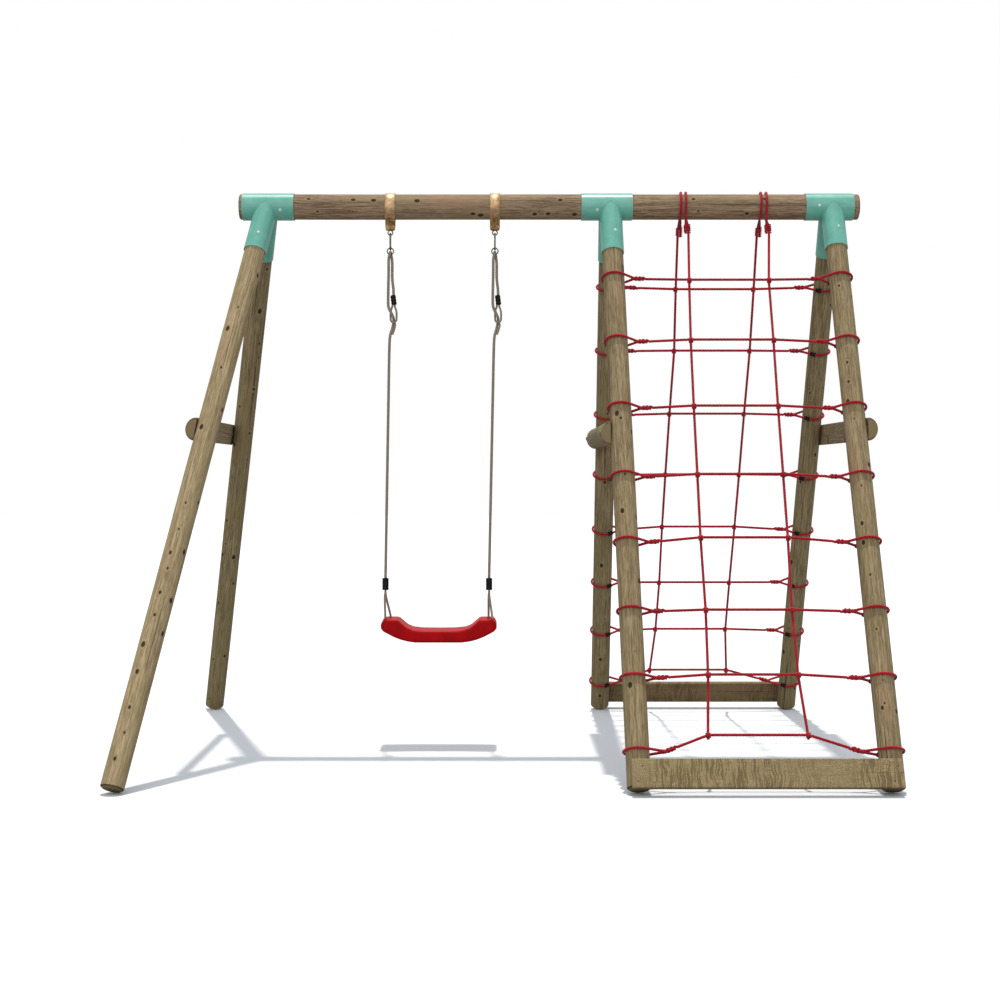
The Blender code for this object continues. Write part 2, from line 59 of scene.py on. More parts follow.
FRAMES = {
    "left": {"top": -0.9544, "foot": -1.3359, "tube": (-1.0503, -0.8469)},
    "middle": {"top": 0.3971, "foot": 0.4217, "tube": (0.2820, 0.4830)},
    "right": {"top": 1.2691, "foot": 1.2691, "tube": (1.1625, 1.3513)},
}
# The side of the legs that a brace lies on, and its height
BRACES = {"left": (-1, 1.232), "middle": (-1, 1.217), "right": (1, 1.232)}
BRACE_RADIUS, BRACE_DEPTH, BRACE_OVERHANG = 0.0425, 0.036, 0.035
BOARD_HEIGHT, BOARD_THICKNESS, BOARD_OVERHANG, BOARD_AT = 0.100, 0.020, 0.026, 0.978

NET_ROPE = 0.005
NET_ROWS = (0.147, 0.260, 0.380, 0.4995, 0.606, 0.723, 0.824, 0.915)
LOOP_DROPS = {
    "front": (-0.0036, 0.0025, 0.0032, 0.0034, 0.0069, 0.0015, 0.0044, 0.024),
    "rear": (-0.0040, -0.0005, 0.0010, -0.0005, 0.0045, -0.0020, 0.0015, 0.0235),
}
LAYER = 0.0053
LEG_SPLICE, LAST_SPLICE, BEAM_SPLICE, SPLICE_TAIL = 0.075, 0.092, 0.094, 0.030
UPRIGHTS = {
    "front": {
        "left": (0.7003, (0.6905, 0.6829, 0.6796, 0.6779, 0.6758, 0.6788, 0.6738, 0.6615)),
        "right": (1.0164, (0.9971, 0.9957, 0.9918, 0.9896, 0.9872, 0.9806, 0.9832, 1.0001)),
    },
    "rear": {
        "left": (0.668, (0.6719, 0.6781, 0.6717, 0.6672, 0.6643, 0.6639, 0.6573, 0.6403)),
        "right": (0.9825, (0.9860, 0.9880, 0.9832, 0.9803, 0.9765, 0.9710, 0.9680, 0.9851)),
    },
}

HANGERS = {"left": (-0.4693, -0.4886), "right": (-0.0574, -0.0803)}
STRAP_WIDTH, YOKE_BOTTOM = 0.040, 2.0275
EYE_HEIGHT, EYE_RADIUS, WIRE = 2.0186, 0.0095, 0.0025
RING_HEIGHT, RING_RADIUS = 1.9457, 0.0125
LINK_WIRE, LINK_BEND, GATE_WIRE = 0.0035, 0.0115, 0.0028
GATE_BOTTOM, GATE_TOP = 1.9650, 2.0025
SWING_ROPE, BRIDLE_ROPE, LOOP_ROPE = 0.0055, 0.0045, 0.0040
UPPER_CRIMP = {"height": 1.7533, "radius": 0.011, "length": 0.038, "shift": 0.0125}
LOWER_CRIMP = {"height": 0.6343, "radius": 0.013, "length": 0.047}
SEAT_X, SEAT_DEPTH, SEAT_EDGE = -0.2766, 0.175, 0.009
SEAT_HOLE = {"out": 0.202, "splay": 0.008, "depth": 0.045, "floor": 0.477}

LEG_BORE, SOCKET_OUTER = LEG_RADIUS + FIT, LEG_RADIUS + FIT + WALL
BEAM_BORE, TUBE_OUTER = BEAM_RADIUS + FIT, BEAM_RADIUS + FIT + WALL
# Facets round a bore, a strap, a bar ring, a weld bead and a knot's turn
ROUND, STRAP_ROUND, RING_ROUND, WELD_ROUND, KNOT_ROUND = 64, 96, 48, 72, 20
WIRE_SIDES, KNOT_SIDES = 14, 7


# --- Materials ---


class Nodes:
    """A short way to add and link shader nodes."""

    def __init__(self, name):
        self.material = bpy.data.materials.new(name)
        self.material.use_nodes = True
        self.tree = self.material.node_tree
        self.shader = self.tree.nodes["Principled BSDF"]

    def add(self, kind, inputs=None, **settings):
        node = self.tree.nodes.new("ShaderNode" + kind)
        for key, value in settings.items():
            setattr(node, key, value)
        for key, value in (inputs or {}).items():
            self.feed(node.inputs[key], value)
        return node

    def feed(self, socket, value):
        if isinstance(value, bpy.types.NodeSocket):
            self.tree.links.new(value, socket)
        else:
            socket.default_value = value

    def math(self, operation, a, b=0.0, clamp=False):
        return self.add("Math", {0: a, 1: b}, operation=operation, use_clamp=clamp).outputs[0]

    def plus(self, a, b):
        return self.math("ADD", a, b)

    def minus(self, a, b):
        return self.math("SUBTRACT", a, b)

    def times(self, a, b):
        return self.math("MULTIPLY", a, b)

    def here(self):
        """A point's place on the piece itself."""
        return self.add("TexCoord").outputs["Object"]

    def join(self, x, y, z):
        return self.add("CombineXYZ", {0: x, 1: y, 2: z}).outputs[0]

    def split(self, vector):
        return self.add("SeparateXYZ", {0: vector}).outputs

    def moved(self, vector, shift):
        return self.add("VectorMath", {0: vector, 1: shift}, operation="ADD").outputs[0]

    def stretched(self, vector, scale):
        return self.add("VectorMath", {0: vector, 1: scale}, operation="MULTIPLY").outputs[0]

    def length(self, vector):
        return self.add("VectorMath", {0: vector}, operation="LENGTH").outputs["Value"]

    def noise(self, vector, scale, detail=3.0, roughness=0.55):
        """Noise of one scale, or stretched by a scale for each axis."""
        if isinstance(scale, tuple):
            vector, scale = self.stretched(vector, scale), 1.0
        inputs = {"Vector": vector, "Scale": scale, "Detail": detail, "Roughness": roughness}
        return self.add("TexNoise", inputs).outputs["Fac"]

    def steps(self, value, low, high):
        """0 below low, 1 above high, smooth between; low may be the larger one."""
        inputs = {"Value": value, "From Min": low, "From Max": high}
        return self.add("MapRange", inputs, interpolation_type="SMOOTHSTEP").outputs[0]

    def mix(self, factor, a, b):
        node = self.add("Mix", data_type="RGBA")
        for index, value in ((0, factor), (6, a), (7, b)):
            self.feed(node.inputs[index], value)
        return node.outputs[2]

    def tinted(self, base, mask, share, tint):
        """A base colour with a share of a tint where the mask is 1."""
        return self.mix(self.times(mask, share), base, tint)

    def bump(self, height, strength, distance):
        inputs = {"Height": height, "Strength": strength, "Distance": distance}
        self.feed(self.shader.inputs["Normal"], self.add("Bump", inputs).outputs[0])

    def set(self, **values):
        for key, value in values.items():
            self.feed(self.shader.inputs[key.replace("_", " ")], value)


def colour(red, green, blue):
    """A shader colour from display values of 0 to 255."""
    display = (red, green, blue)
    linear = [c / 3294.6 if c <= 10.31 else ((c / 255 + 0.055) / 1.055) ** 2.4 for c in display]
    return (*linear, 1.0)


# Light fibre, dark fibre and green stain
# The rear and rear_board tints are darker copies of the front ones: painted shade.
WOODS = {
    "front": (colour(172, 152, 116), colour(114, 96, 66), colour(146, 136, 92)),
    "rear": (colour(166, 148, 112), colour(104, 90, 60), colour(138, 128, 86)),
    "pale": (colour(194, 171, 133), colour(132, 114, 80), colour(166, 152, 108)),
    "beam": (colour(178, 152, 124), colour(104, 82, 60), colour(150, 130, 98)),
    "front_board": (colour(186, 164, 124), colour(128, 110, 76), colour(158, 144, 98)),
    "rear_board": (colour(176, 152, 114), colour(110, 92, 62), colour(146, 130, 90)),
}
KNOT, HALO, END_RIM_TONE = colour(26, 18, 12), colour(166, 138, 92), colour(52, 40, 26)
WARM, CRACK = colour(172, 122, 100), colour(70, 56, 38)
RIDGE, FIGURE = colour(96, 78, 46), colour(122, 100, 64)


def wood_material(name, tint, seed, radius, sawn=False):
    """Weathered softwood along the piece's own Z axis: fibre, slow bands, green stain and knots."""
    light, dark, green = WOODS[tint]
    n = Nodes(name)
    rng = random.Random(seed)
    shift = tuple(rng.uniform(-20, 20) for _ in range(3))
    here = n.here()
    place = n.moved(here, shift)
    axes = n.split(here)
    around = axes["Y"] if sawn else n.times(n.math("ARCTAN2", axes["Y"], axes["X"]), radius)
    cells = n.stretched(n.moved(n.join(around, axes["Z"], 0.0), shift), (17.0, 12.0, 1.0))
    lattice = {"Vector": cells, "Scale": 1.0, "Randomness": 1.0}
    knots = n.add("TexVoronoi", lattice, voronoi_dimensions="2D")
    lot = n.add("SeparateColor", {0: knots.outputs["Color"]}).outputs[0]
    gap = n.minus(knots.outputs["Distance"], n.times(n.math("SUBTRACT", lot, 0.45, True), 0.24))
    present = n.times(n.steps(lot, 0.60, 0.62), 0.25 if sawn else 1.0)
    knot = n.times(n.steps(gap, 0.025, -0.01), present)
    halo = n.times(n.steps(gap, 0.13, 0.0), present)
    swirl = n.times(halo, 0.012)
    grain = n.moved(place, n.join(swirl, swirl, 0.0))
    fibre = n.noise(grain, (340.0, 340.0, 22.0), 4.0, 0.7)
    bands = n.noise(grain, (150.0, 150.0, 5.0))
    checks = n.noise(grain, (95.0, 95.0, 1.1), 2.0, 0.4)
    patches = n.noise(place, (9.0, 9.0, 1.7), 3.0, 0.6)
    warm = n.noise(place, (14.0, 14.0, 2.6), 2.0, 0.5)
    streak = n.plus(n.times(fibre, 0.68), n.times(bands, 0.42))
    if sawn:
        speckle = n.noise(place, (420.0, 420.0, 420.0), 2.0, 0.6)
        streak = n.plus(n.times(streak, 0.35), n.times(speckle, 0.65))
    base = n.mix(n.steps(streak, 0.42, 0.72), dark, light)
    base = n.tinted(base, n.steps(patches, 0.46, 0.72), 0.55, green)
    base = n.tinted(base, n.steps(warm, 0.58, 0.78), 0.40, WARM)
    height = n.times(streak, 0.8)
    if sawn:
        sway = n.times(n.noise(place, 9.0, 2.0), 0.05)
        ridges = n.noise(n.moved(place, n.join(0.0, 0.0, sway)), (12.0, 12.0, 210.0), 2.0)
        coarse = n.steps(n.noise(place, (1.0, 1.0, 3.2), 2.0), 0.38, 0.58)
        carved = n.times(n.times(n.steps(ridges, 0.49, 0.58), 0.70), coarse)
        base = n.mix(carved, base, RIDGE)
        figure = n.noise(place, (16.0, 16.0, 45.0), 4.0, 0.6)
        base = n.tinted(base, n.steps(figure, 0.56, 0.70), 0.35, FIGURE)
        height = n.minus(height, n.times(carved, 1.6))
    crack = n.times(n.steps(checks, 0.325, 0.285), 0.75)
    base = n.mix(crack, base, CRACK)
    base = n.tinted(base, halo, 0.45, HALO)
    base = n.tinted(base, knot, 0.92, KNOT)
    height = n.plus(n.minus(height, n.times(crack, 1.2)), n.times(knot, 0.6))
    rough = n.add("MapRange", {"Value": fibre, "To Min": 0.66, "To Max": 0.88}).outputs[0]
    n.set(Base_Color=base, Roughness=rough, Specular_IOR_Level=0.28)
    n.bump(height, 0.55, 0.0012 if sawn else 0.0008)
    return n.material


def end_grain_material(name, tint, seed, radius):
    """A sawn log end: growth rings about a pith that lies off the middle, and radial cracks."""
    light, dark, _ = WOODS[tint]
    n = Nodes(name)
    rng = random.Random(seed)
    pith = (rng.uniform(-0.012, 0.012), rng.uniform(-0.012, 0.012), 0.0)
    here = n.moved(n.here(), pith)
    axes = n.split(here)
    flat = n.join(axes["X"], axes["Y"], 0.0)
    wobble = n.noise(flat, 45.0, 2.0)
    reach = n.length(flat)
    ring = n.math("SINE", n.plus(n.times(reach, 1500.0), n.times(wobble, 7.0)))
    rings = n.steps(ring, -0.9, 0.9)
    turn = n.math("ARCTAN2", axes["Y"], axes["X"])
    ray = n.noise(n.join(turn, 0.0, n.times(reach, 12.0)), 6.0, 2.0)
    split = n.steps(ray, 0.30, 0.26)
    base = n.mix(rings, dark, light)
    base = n.tinted(base, n.noise(here, 900.0, 2.0), 0.35, dark)
    base = n.tinted(base, split, 0.8, KNOT)
    place = n.split(n.here())
    from_middle = n.length(n.join(place["X"], place["Y"], 0.0))
    # the cut end is darker towards its rim
    rim = n.steps(n.plus(from_middle, n.times(wobble, 0.002)), radius * 0.80, radius * 0.98)
    base = n.tinted(base, rim, 0.80, END_RIM_TONE)
    n.set(Base_Color=base, Roughness=0.9, Specular_IOR_Level=0.2)
    n.bump(n.minus(n.times(rings, 0.5), split), 0.5, 0.0008)
    return n.material


def paint_material():
    """Satin teal powder coat: orange peel, faint dust and darker lows."""
    n = Nodes("teal_powder_coat")
    here = n.here()
    cloud = n.noise(here, 18.0, 4.0, 0.65)
    scuff = n.steps(n.noise(here, (60.0, 60.0, 160.0), 5.0, 0.7), 0.66, 0.74)
    base = n.mix(n.steps(cloud, 0.35, 0.7), colour(100, 174, 156), colour(114, 186, 168))
    base = n.tinted(base, scuff, 0.30, colour(170, 205, 190))
    n.set(Base_Color=base, Metallic=0.0, Roughness=n.plus(n.times(cloud, 0.12), 0.30))
    n.set(Specular_IOR_Level=0.5, Coat_Weight=0.25, Coat_Roughness=0.22)
    n.bump(n.noise(here, 700.0, 2.0), 0.25, 0.0002)
    return n.material


def metal_material(name, light, dark, roughness, grain=220.0):
    """Plated steel with brushing, dull patches and small pits."""
    n = Nodes(name)
    here = n.here()
    cloud = n.noise(here, 60.0, 4.0, 0.65)
    brush = n.noise(here, (grain * 0.4, grain * 4, grain * 4), 3.0, 0.6)
    pits = n.steps(n.noise(here, 1300.0, 1.0), 0.68, 0.74)
    base = n.tinted(n.mix(n.steps(cloud, 0.38, 0.66), dark, light), pits, 0.5, dark)
    n.set(Base_Color=base, Metallic=1.0, Roughness=n.plus(n.times(brush, 0.22), roughness - 0.1))
    n.bump(n.minus(brush, pits), 0.25, 0.0002)
    return n.material


def rope_material(name, light, dark, fleck):
    """Twisted rope: painted shade in the grooves between the strands, yarn lines, flecks and a soft
    fuzz.
    """
    n = Nodes(name)
    here = n.here()
    groove = n.add("Attribute", attribute_name="groove").outputs["Fac"]
    yarn = n.noise(here, 900.0, 3.0, 0.7)
    base = n.mix(n.steps(yarn, 0.38, 0.62), dark, light)
    base = n.tinted(base, n.steps(n.noise(here, 35.0), 0.45, 0.7), 0.35, fleck)
    # painted shade: the grooves between the strands are darkened towards the dark yarn
    base = n.tinted(base, n.steps(groove, 0.35, 1.0), 0.75, dark)
    n.set(Base_Color=base, Roughness=0.88, Specular_IOR_Level=0.18)
    n.set(Sheen_Weight=0.25, Sheen_Roughness=0.5)
    n.bump(n.minus(yarn, groove), 0.6, 0.0006)
    return n.material


def plastic_material(name, main, deep, roughness, gloss=0.5):
    """Moulded plastic: fine grain, slow colour drift and light scratches."""
    n = Nodes(name)
    here = n.here()
    skin = n.noise(here, 650.0, 2.0, 0.6)
    cloud = n.noise(here, 14.0, 3.0, 0.6)
    scratch = n.steps(n.noise(here, (30.0, 420.0, 420.0), 3.0, 0.6), 0.69, 0.74)
    rough = n.plus(n.times(scratch, 0.18), n.times(skin, 0.14))
    n.set(Base_Color=n.mix(n.steps(cloud, 0.35, 0.7), deep, main))
    n.set(Roughness=n.plus(rough, roughness - 0.07), Specular_IOR_Level=gloss)
    n.bump(n.minus(skin, n.times(scratch, 0.6)), 0.18, 0.0003)
    return n.material


PAINT = paint_material()
# Pale teal on the tube and socket lips: a painted highlight along the rims.
RIM_HIGHLIGHT_PAINT = plastic_material("rim_highlight_paint", colour(178, 200, 168), colour(120, 168, 144), 0.40)
BRASS = metal_material("yellow_plate", colour(224, 190, 148), colour(188, 148, 108), 0.46)
CAST = metal_material("cast_yoke", colour(200, 160, 104), colour(136, 104, 66), 0.52, 90.0)
ZINC = metal_material("grey_zinc", colour(150, 144, 128), colour(92, 86, 74), 0.34)
# Bracket screw heads: pale mint brightened to near white, a painted highlight.
SCREW = plastic_material("screw_head_highlight", colour(226, 240, 234), colour(196, 220, 210), 0.28)
RED_YARNS = colour(206, 20, 40), colour(124, 8, 24), colour(218, 44, 60)
RED_ROPE = rope_material("red_rope_yarn", *RED_YARNS)
HEMP_YARNS = colour(194, 178, 160), colour(108, 94, 80), colour(170, 158, 140)
HEMP_ROPE = rope_material("hemp_yarn", *HEMP_YARNS)
BLACK = plastic_material("black_moulding", colour(15, 14, 14), colour(8, 8, 8), 0.50, 0.22)
RED_PLASTIC = plastic_material("red_moulding", colour(186, 4, 12), colour(164, 2, 8), 0.40, 0.08)


# --- Mesh helpers ---


def linked(name, data):
    """A new object in the scene."""
    thing = bpy.data.objects.new(name, data)
    bpy.context.scene.collection.objects.link(thing)
    return thing


def finish_mesh(bm, sharp=40):
    """Outward faces, smooth shading between sharp edges."""
    bmesh.ops.recalc_face_normals(bm, faces=bm.faces)
    mesh = bpy.data.meshes.new("shape")
    bm.to_mesh(mesh)
    bm.free()
    mesh.shade_smooth()
    mesh.set_sharp_from_angle(angle=radians(sharp))
    return mesh


def piece(name, mesh, materials, body, nodes=(), place=None):
    """Link a mesh as a piece that rides on a body and stands for some CAD nodes."""
    thing = linked(name, mesh)
    for material in materials if isinstance(materials, list) else [materials]:
        mesh.materials.append(material)
    thing.matrix_world = place or Matrix()
    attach(thing, body)
    if nodes:
        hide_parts(*nodes)


def add_rings(bm, rings, cap_slot=0, closed=False):
    """Bridge rings of points into a tube, capped at both ends unless it closes on itself."""
    loops = [[bm.verts.new(p) for p in ring] for ring in rings]
    count = len(loops[0])
    for low, high in zip(loops, loops[1:] + loops[: int(closed)]):
        for i in range(count):
            j = (i + 1) % count
            bm.faces.new((low[i], low[j], high[j], high[i]))
    if not closed:
        for cap in (reversed(loops[0]), loops[-1]):
            bm.faces.new(cap).material_index = cap_slot
    return loops


def turns_of(count):
    """Angles evenly round a circle."""
    return [2 * pi * i / count for i in range(count)]


def add_lathe(bm, profile, segments, place=Matrix(), closed=False):
    """A turned shape about place's Z axis from (radius, height) points."""
    spokes = [(cos(a), sin(a)) for a in turns_of(segments)]
    rings = [[place @ Vector((r * x, r * y, h)) for x, y in spokes] for r, h in profile]
    add_rings(bm, rings, closed=closed)


def arc(centre_r, centre_h, radius, start, end, steps):
    """Profile points on a quarter or half round, angles in degrees."""
    turns = [radians(start + (end - start) * i / steps) for i in range(steps + 1)]
    return [(centre_r + radius * cos(a), centre_h + radius * sin(a)) for a in turns]


def soft_box(wide, low, high, ease, steps, level=1, upright=1):
    """A box section with round corners, its level and upright sides cut into some parts."""
    corners = []
    for side, up, start in ((1, 1, 0), (-1, 1, 90), (-1, -1, 180), (1, -1, 270)):
        height = high - ease if up > 0 else low + ease
        corners.append(arc(side * (wide - ease), height, ease, start, start + 90, steps))
    outline = []
    for k, corner in enumerate(corners):
        (x, y), (next_x, next_y) = corner[-1], corners[(k + 1) % 4][0]
        parts = upright if k % 2 else level
        outline += corner
        for i in range(1, parts):
            outline.append((x + (next_x - x) * i / parts, y + (next_y - y) * i / parts))
    return outline


def frame_along(start, axis):
    """A place whose Z axis runs along axis."""
    return Matrix.Translation(start) @ axis.to_track_quat("Z", "Y").to_matrix().to_4x4()


def tangents(points, closed=False):
    """Unit directions along a path, or round a loop."""
    first, last = (points[-1], points[0]) if closed else (points[0], points[-1])
    pairs = zip([first, *points], [*points[1:], last])
    return [(after - before).normalized() for before, after in pairs]


def squared(side, tangent):
    """A direction near side and a third one, both square to the tangent."""
    side = (side - tangent * side.dot(tangent)).normalized()
    return side, tangent.cross(side)


def transported(points):
    """The two square directions along a path, without twist."""
    frames = []
    for tangent in tangents(points):
        side = frames[-1][0] if frames else tangent.orthogonal().normalized()
        frames.append(squared(side, tangent))
    return frames


def even(points, gap):
    """The same path with points about gap apart."""
    lengths = [0.0]
    for a, b in zip(points, points[1:]):
        lengths.append(lengths[-1] + (b - a).length)
    count = max(2, round(lengths[-1] / gap))
    path, k = [], 0
    for i in range(count + 1):
        target = lengths[-1] * i / count
        while k < len(points) - 2 and lengths[k + 1] < target:
            k += 1
        share = (target - lengths[k]) / (lengths[k + 1] - lengths[k])
        path.append(points[k].lerp(points[k + 1], share))
    return path


def smooth_path(points, steps):
    """Points on a smooth curve (Catmull-Rom) through the given ones."""
    knots = [Vector(p) for p in points]
    padded = [2 * knots[0] - knots[1], *knots, 2 * knots[-1] - knots[-2]]
    path = []
    for before, start, end, after in zip(padded, padded[1:], padded[2:], padded[3:]):
        pull = 2 * before - 5 * start + 4 * end - after
        bend = 3 * start - before - 3 * end + after
        for t in [i / steps for i in range(steps)]:
            path.append(0.5 * (2 * start + (end - before) * t + pull * t**2 + bend * t**3))
    return [*path, knots[-1]]


def spoke(point, axes, reach, turn):
    """A point at a reach and a turn about a path."""
    return point + reach * (axes[0] * cos(turn) + axes[1] * sin(turn))


def add_tube(bm, points, radius, sides, closed=False):
    """A round wire along a path, or round a loop."""
    if closed:
        middle = sum(points, Vector()) / len(points)
        outwards = [(point - middle).normalized() for point in points]
        frames = [squared(side, tangent) for side, tangent in zip(outwards, tangents(points, True))]
    else:
        frames = transported(points)
    turns = turns_of(sides)
    rings = [[spoke(point, axes, radius, a) for a in turns] for point, axes in zip(points, frames)]
    add_rings(bm, rings, closed=closed)


STRANDS, LOBE_POINTS, GROOVE_DEPTH = 3, 5, 0.22
FUZZ = 1.05  # strands stand a little proud of the nominal radius
ROPE_STEP = 0.62  # radii from one section of a rope to the next


def add_rope(bm, points, radius, lay):
    """A twisted rope: a lobed section that turns once per lay along the path."""
    layer = bm.verts.layers.float.new("groove")
    path = even(points, radius * ROPE_STEP)
    step = (path[1] - path[0]).length
    turns = turns_of(STRANDS * LOBE_POINTS)
    lobe = [sin(pi * (i % LOBE_POINTS) / LOBE_POINTS) ** 0.6 for i in range(len(turns))]
    reaches = [radius * FUZZ * (1 - GROOVE_DEPTH * (1 - high)) for high in lobe]
    rings = []
    for i, (point, axes) in enumerate(zip(path, transported(path))):
        twist = 2 * pi * i * step / lay
        rings.append([spoke(point, axes, reach, a + twist) for reach, a in zip(reaches, turns)])
    for loop in add_rings(bm, rings):
        for vert, high in zip(loop, lobe):
            vert[layer] = 1 - high


def boolean_mesh(base, others):
    """Evaluate (operation, object) steps on a base object and return the finished mesh."""
    for operation, other in others:
        modifier = base.modifiers.new("cut", "BOOLEAN")
        modifier.operation, modifier.solver, modifier.object = operation, "EXACT", other
    shown = base.evaluated_get(bpy.context.evaluated_depsgraph_get())
    mesh = bpy.data.meshes.new_from_object(shown)
    for thing in [base, *[other for _, other in others]]:
        bpy.data.objects.remove(thing)
    return mesh


def solid_cylinder(start, end, radius):
    """A plain cylinder to join or to cut away."""
    bm = bmesh.new()
    ends = [(radius, 0.0), (radius, (end - start).length)]
    add_lathe(bm, ends, ROUND, frame_along(start, end - start))
    return linked("guide", finish_mesh(bm))


# --- Frame geometry ---


def at_beam(x):
    """A point on the beam's axis."""
    return Vector((x, 0, BEAM_HEIGHT))


def outward(side):
    """Unit vector square to the slope of a side, pointing out and up."""
    return Vector((0.0, side * BEAM_HEIGHT, FOOT_SPREAD)) / SLOPE


def down_slope(side):
    return Vector((0.0, side * FOOT_SPREAD, -BEAM_HEIGHT)) / SLOPE


def slope_point(x, down, side, out=0.0):
    """A point on a side's slope: down is 0 at the beam and 1 on the ground."""
    base = Vector((x, side * FOOT_SPREAD * down, BEAM_HEIGHT * (1 - down)))
    return base + outward(side) * (AXIS_OFFSET + out)


def leg_x(frame_name, down):
    """X of a leg's axis at a place down the slope."""
    leg = FRAMES[frame_name]
    return leg["top"] + (leg["foot"] - leg["top"]) * down


def leg_axis(frame_name, side):
    """Start point at the beam and unit direction of a leg."""
    leg = FRAMES[frame_name]
    start = slope_point(leg["top"], 0.0, side)
    return start, (slope_point(leg["foot"], 1.0, side) - start).normalized()


# --- Timber ---

POLE_RINGS, POLE_SIDES = 0.014, 48  # spacing of a pole's rings, and points in each
BOARD_RINGS = 0.012
BRACE_EASE, BRACE_END = 0.003, 0.955  # depth and share of the eased end of a brace
HEAD_SINK = 0.0012  # how far a screw or bolt head sits in the wood


def pole_mesh(radius, low, high, chamfer, seed):
    """A turned pole along Z: nearly round, with soft swells and flats from noise, and eased ends.
    """
    bm = bmesh.new()
    rim, ease = radius - chamfer, chamfer * 0.3
    length = high - low - 2 * chamfer
    count = round(length / POLE_RINGS)
    stations = [(rim - ease, low), (rim, low + ease * 0.6)]
    stations += [(radius, low + chamfer + length * i / count) for i in range(count + 1)]
    stations += [(rim, high - ease * 0.6), (rim - ease, high)]
    offset = Vector((seed * 3.7, seed * 1.3, seed * 2.1))
    spokes = [(cos(a), sin(a)) for a in turns_of(POLE_SIDES)]
    rings = []
    for reach, height in stations:
        ring = []
        for x, y in spokes:
            swell = noise.noise(Vector((x * 1.1, y * 1.1, height * 2.2)) + offset)
            fine = noise.noise(Vector((x * 5, y * 5, height * 6)) + offset)
            worn = reach - 0.0005 + 0.0007 * swell + 0.00018 * fine
            ring.append((worn * x, worn * y, height))
        rings.append(ring)
    loops = add_rings(bm, rings, cap_slot=1)
    cut_ends = {vert for loop in (*loops[:2], *loops[-2:]) for vert in loop}
    for face in bm.faces:
        if any(vert in cut_ends for vert in face.verts):
            face.material_index = 1
    return finish_mesh(bm, 50)


def timber_piece(name, shape, mesh, place, skin, end):
    """A piece of wood in place of its CAD node, from the makings of its two materials."""
    materials = [wood_material(f"{name}_wood", *skin), end_grain_material(f"{name}_end", *end)]
    piece(f"{name}_{shape}", mesh, materials, "frame", [name], place)


def make_beam():
    low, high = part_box("top_beam")
    place = Matrix.Translation((0, 0, BEAM_HEIGHT)) @ Matrix.Rotation(pi / 2, 4, "Y")
    mesh = pole_mesh(BEAM_RADIUS, low.x, high.x, 0.003, 1)
    skin = wood_material("beam_wood", "beam", 11, BEAM_RADIUS)
    end = end_grain_material("beam_end", "beam", 12, BEAM_RADIUS)
    piece("beam_log", mesh, [skin, end], "frame", ["top_beam"], place)


def make_legs():
    seed = 20
    for frame_name in FRAMES:
        for label, side in SIDES.items():
            start, along = leg_axis(frame_name, side)
            rim = LEG_RADIUS - LEG_CHAMFER
            length = (start.z - rim * sqrt(1 - along.z**2)) / -along.z
            mesh = pole_mesh(LEG_RADIUS, LEG_TOP, length, LEG_CHAMFER, seed)
            name = f"leg_{frame_name}_{label}"
            # the rear legs take the darker rear tint: painted shade
            tint = "pale" if name == "leg_left_front" else label
            skin, end = (tint, seed, LEG_RADIUS), (label, seed, LEG_RADIUS)
            timber_piece(name, "pole", mesh, frame_along(start, along), skin, end)
            seed += 1


def brace_place(frame_name):
    """Where a brace lies: its own Z runs along +Y, its flat side faces the legs."""
    leg, (side, height) = FRAMES[frame_name], BRACES[frame_name]
    down = 1 - (height - outward(1).z * AXIS_OFFSET) / BEAM_HEIGHT
    lean = atan2(leg["top"] - leg["foot"], BEAM_HEIGHT)
    face = leg_x(frame_name, down) + side * LEG_BORE / cos(lean)
    turn = Matrix.Rotation(lean, 4, "Y") @ Matrix.Rotation(-pi / 2, 4, "X")
    return Matrix.Translation((face, 0, height)) @ turn, down


def make_braces():
    """Half logs with eased edges, and the bolts that hold them."""
    for seed, (frame_name, (side, _)) in enumerate(BRACES.items(), 40):
        place, down = brace_place(frame_name)
        half = FOOT_SPREAD * down + BRACE_OVERHANG
        arcs = [pi * (i + 0.5) / 28 - pi / 2 for i in range(28)]
        outline = [(side * BRACE_DEPTH * cos(a), BRACE_RADIUS * sin(a)) for a in arcs]
        outline += [(side * 0.0004, (BRACE_RADIUS - BRACE_EASE) * (1 - i / 4)) for i in range(9)]
        count = round(2 * half / POLE_RINGS)
        rings = []
        for i in range(count + 1):
            height = -half + 2 * half * i / count
            scale = BRACE_END if i in (0, count) else 1.0
            ring = []
            for a, b in outline:
                worn = 1 + 0.008 * noise.noise(Vector((a * 20, b * 20, height * 3 + seed)))
                ring.append((a * scale * worn, b * scale * min(worn, 1.0), height))
            rings.append(ring)
            if i in (0, count - 1):
                inner = (half - BRACE_EASE) * (1 if i else -1)
                rings.append([(a, b, inner) for a, b in outline])
        bm = bmesh.new()
        add_rings(bm, rings, cap_slot=1)
        name = f"brace_{frame_name}"
        # the left and middle braces take the darker rear tint: painted shade
        tint = "front" if frame_name == "right" else "rear"
        skin, end = (tint, seed, BRACE_RADIUS), ("front", seed, BRACE_RADIUS)
        timber_piece(name, "half_log", finish_mesh(bm, 50), place, skin, end)
        bolts = bmesh.new()
        for spread in (-1, 1):
            foot = Vector((side * (BRACE_DEPTH - HEAD_SINK), 0, spread * FOOT_SPREAD * down))
            add_bolt(bolts, place @ frame_along(foot, Vector((side, 0, 0))), 0.0085, 0.013)
        piece(f"{name}_bolts", finish_mesh(bolts, 30), ZINC, "frame")


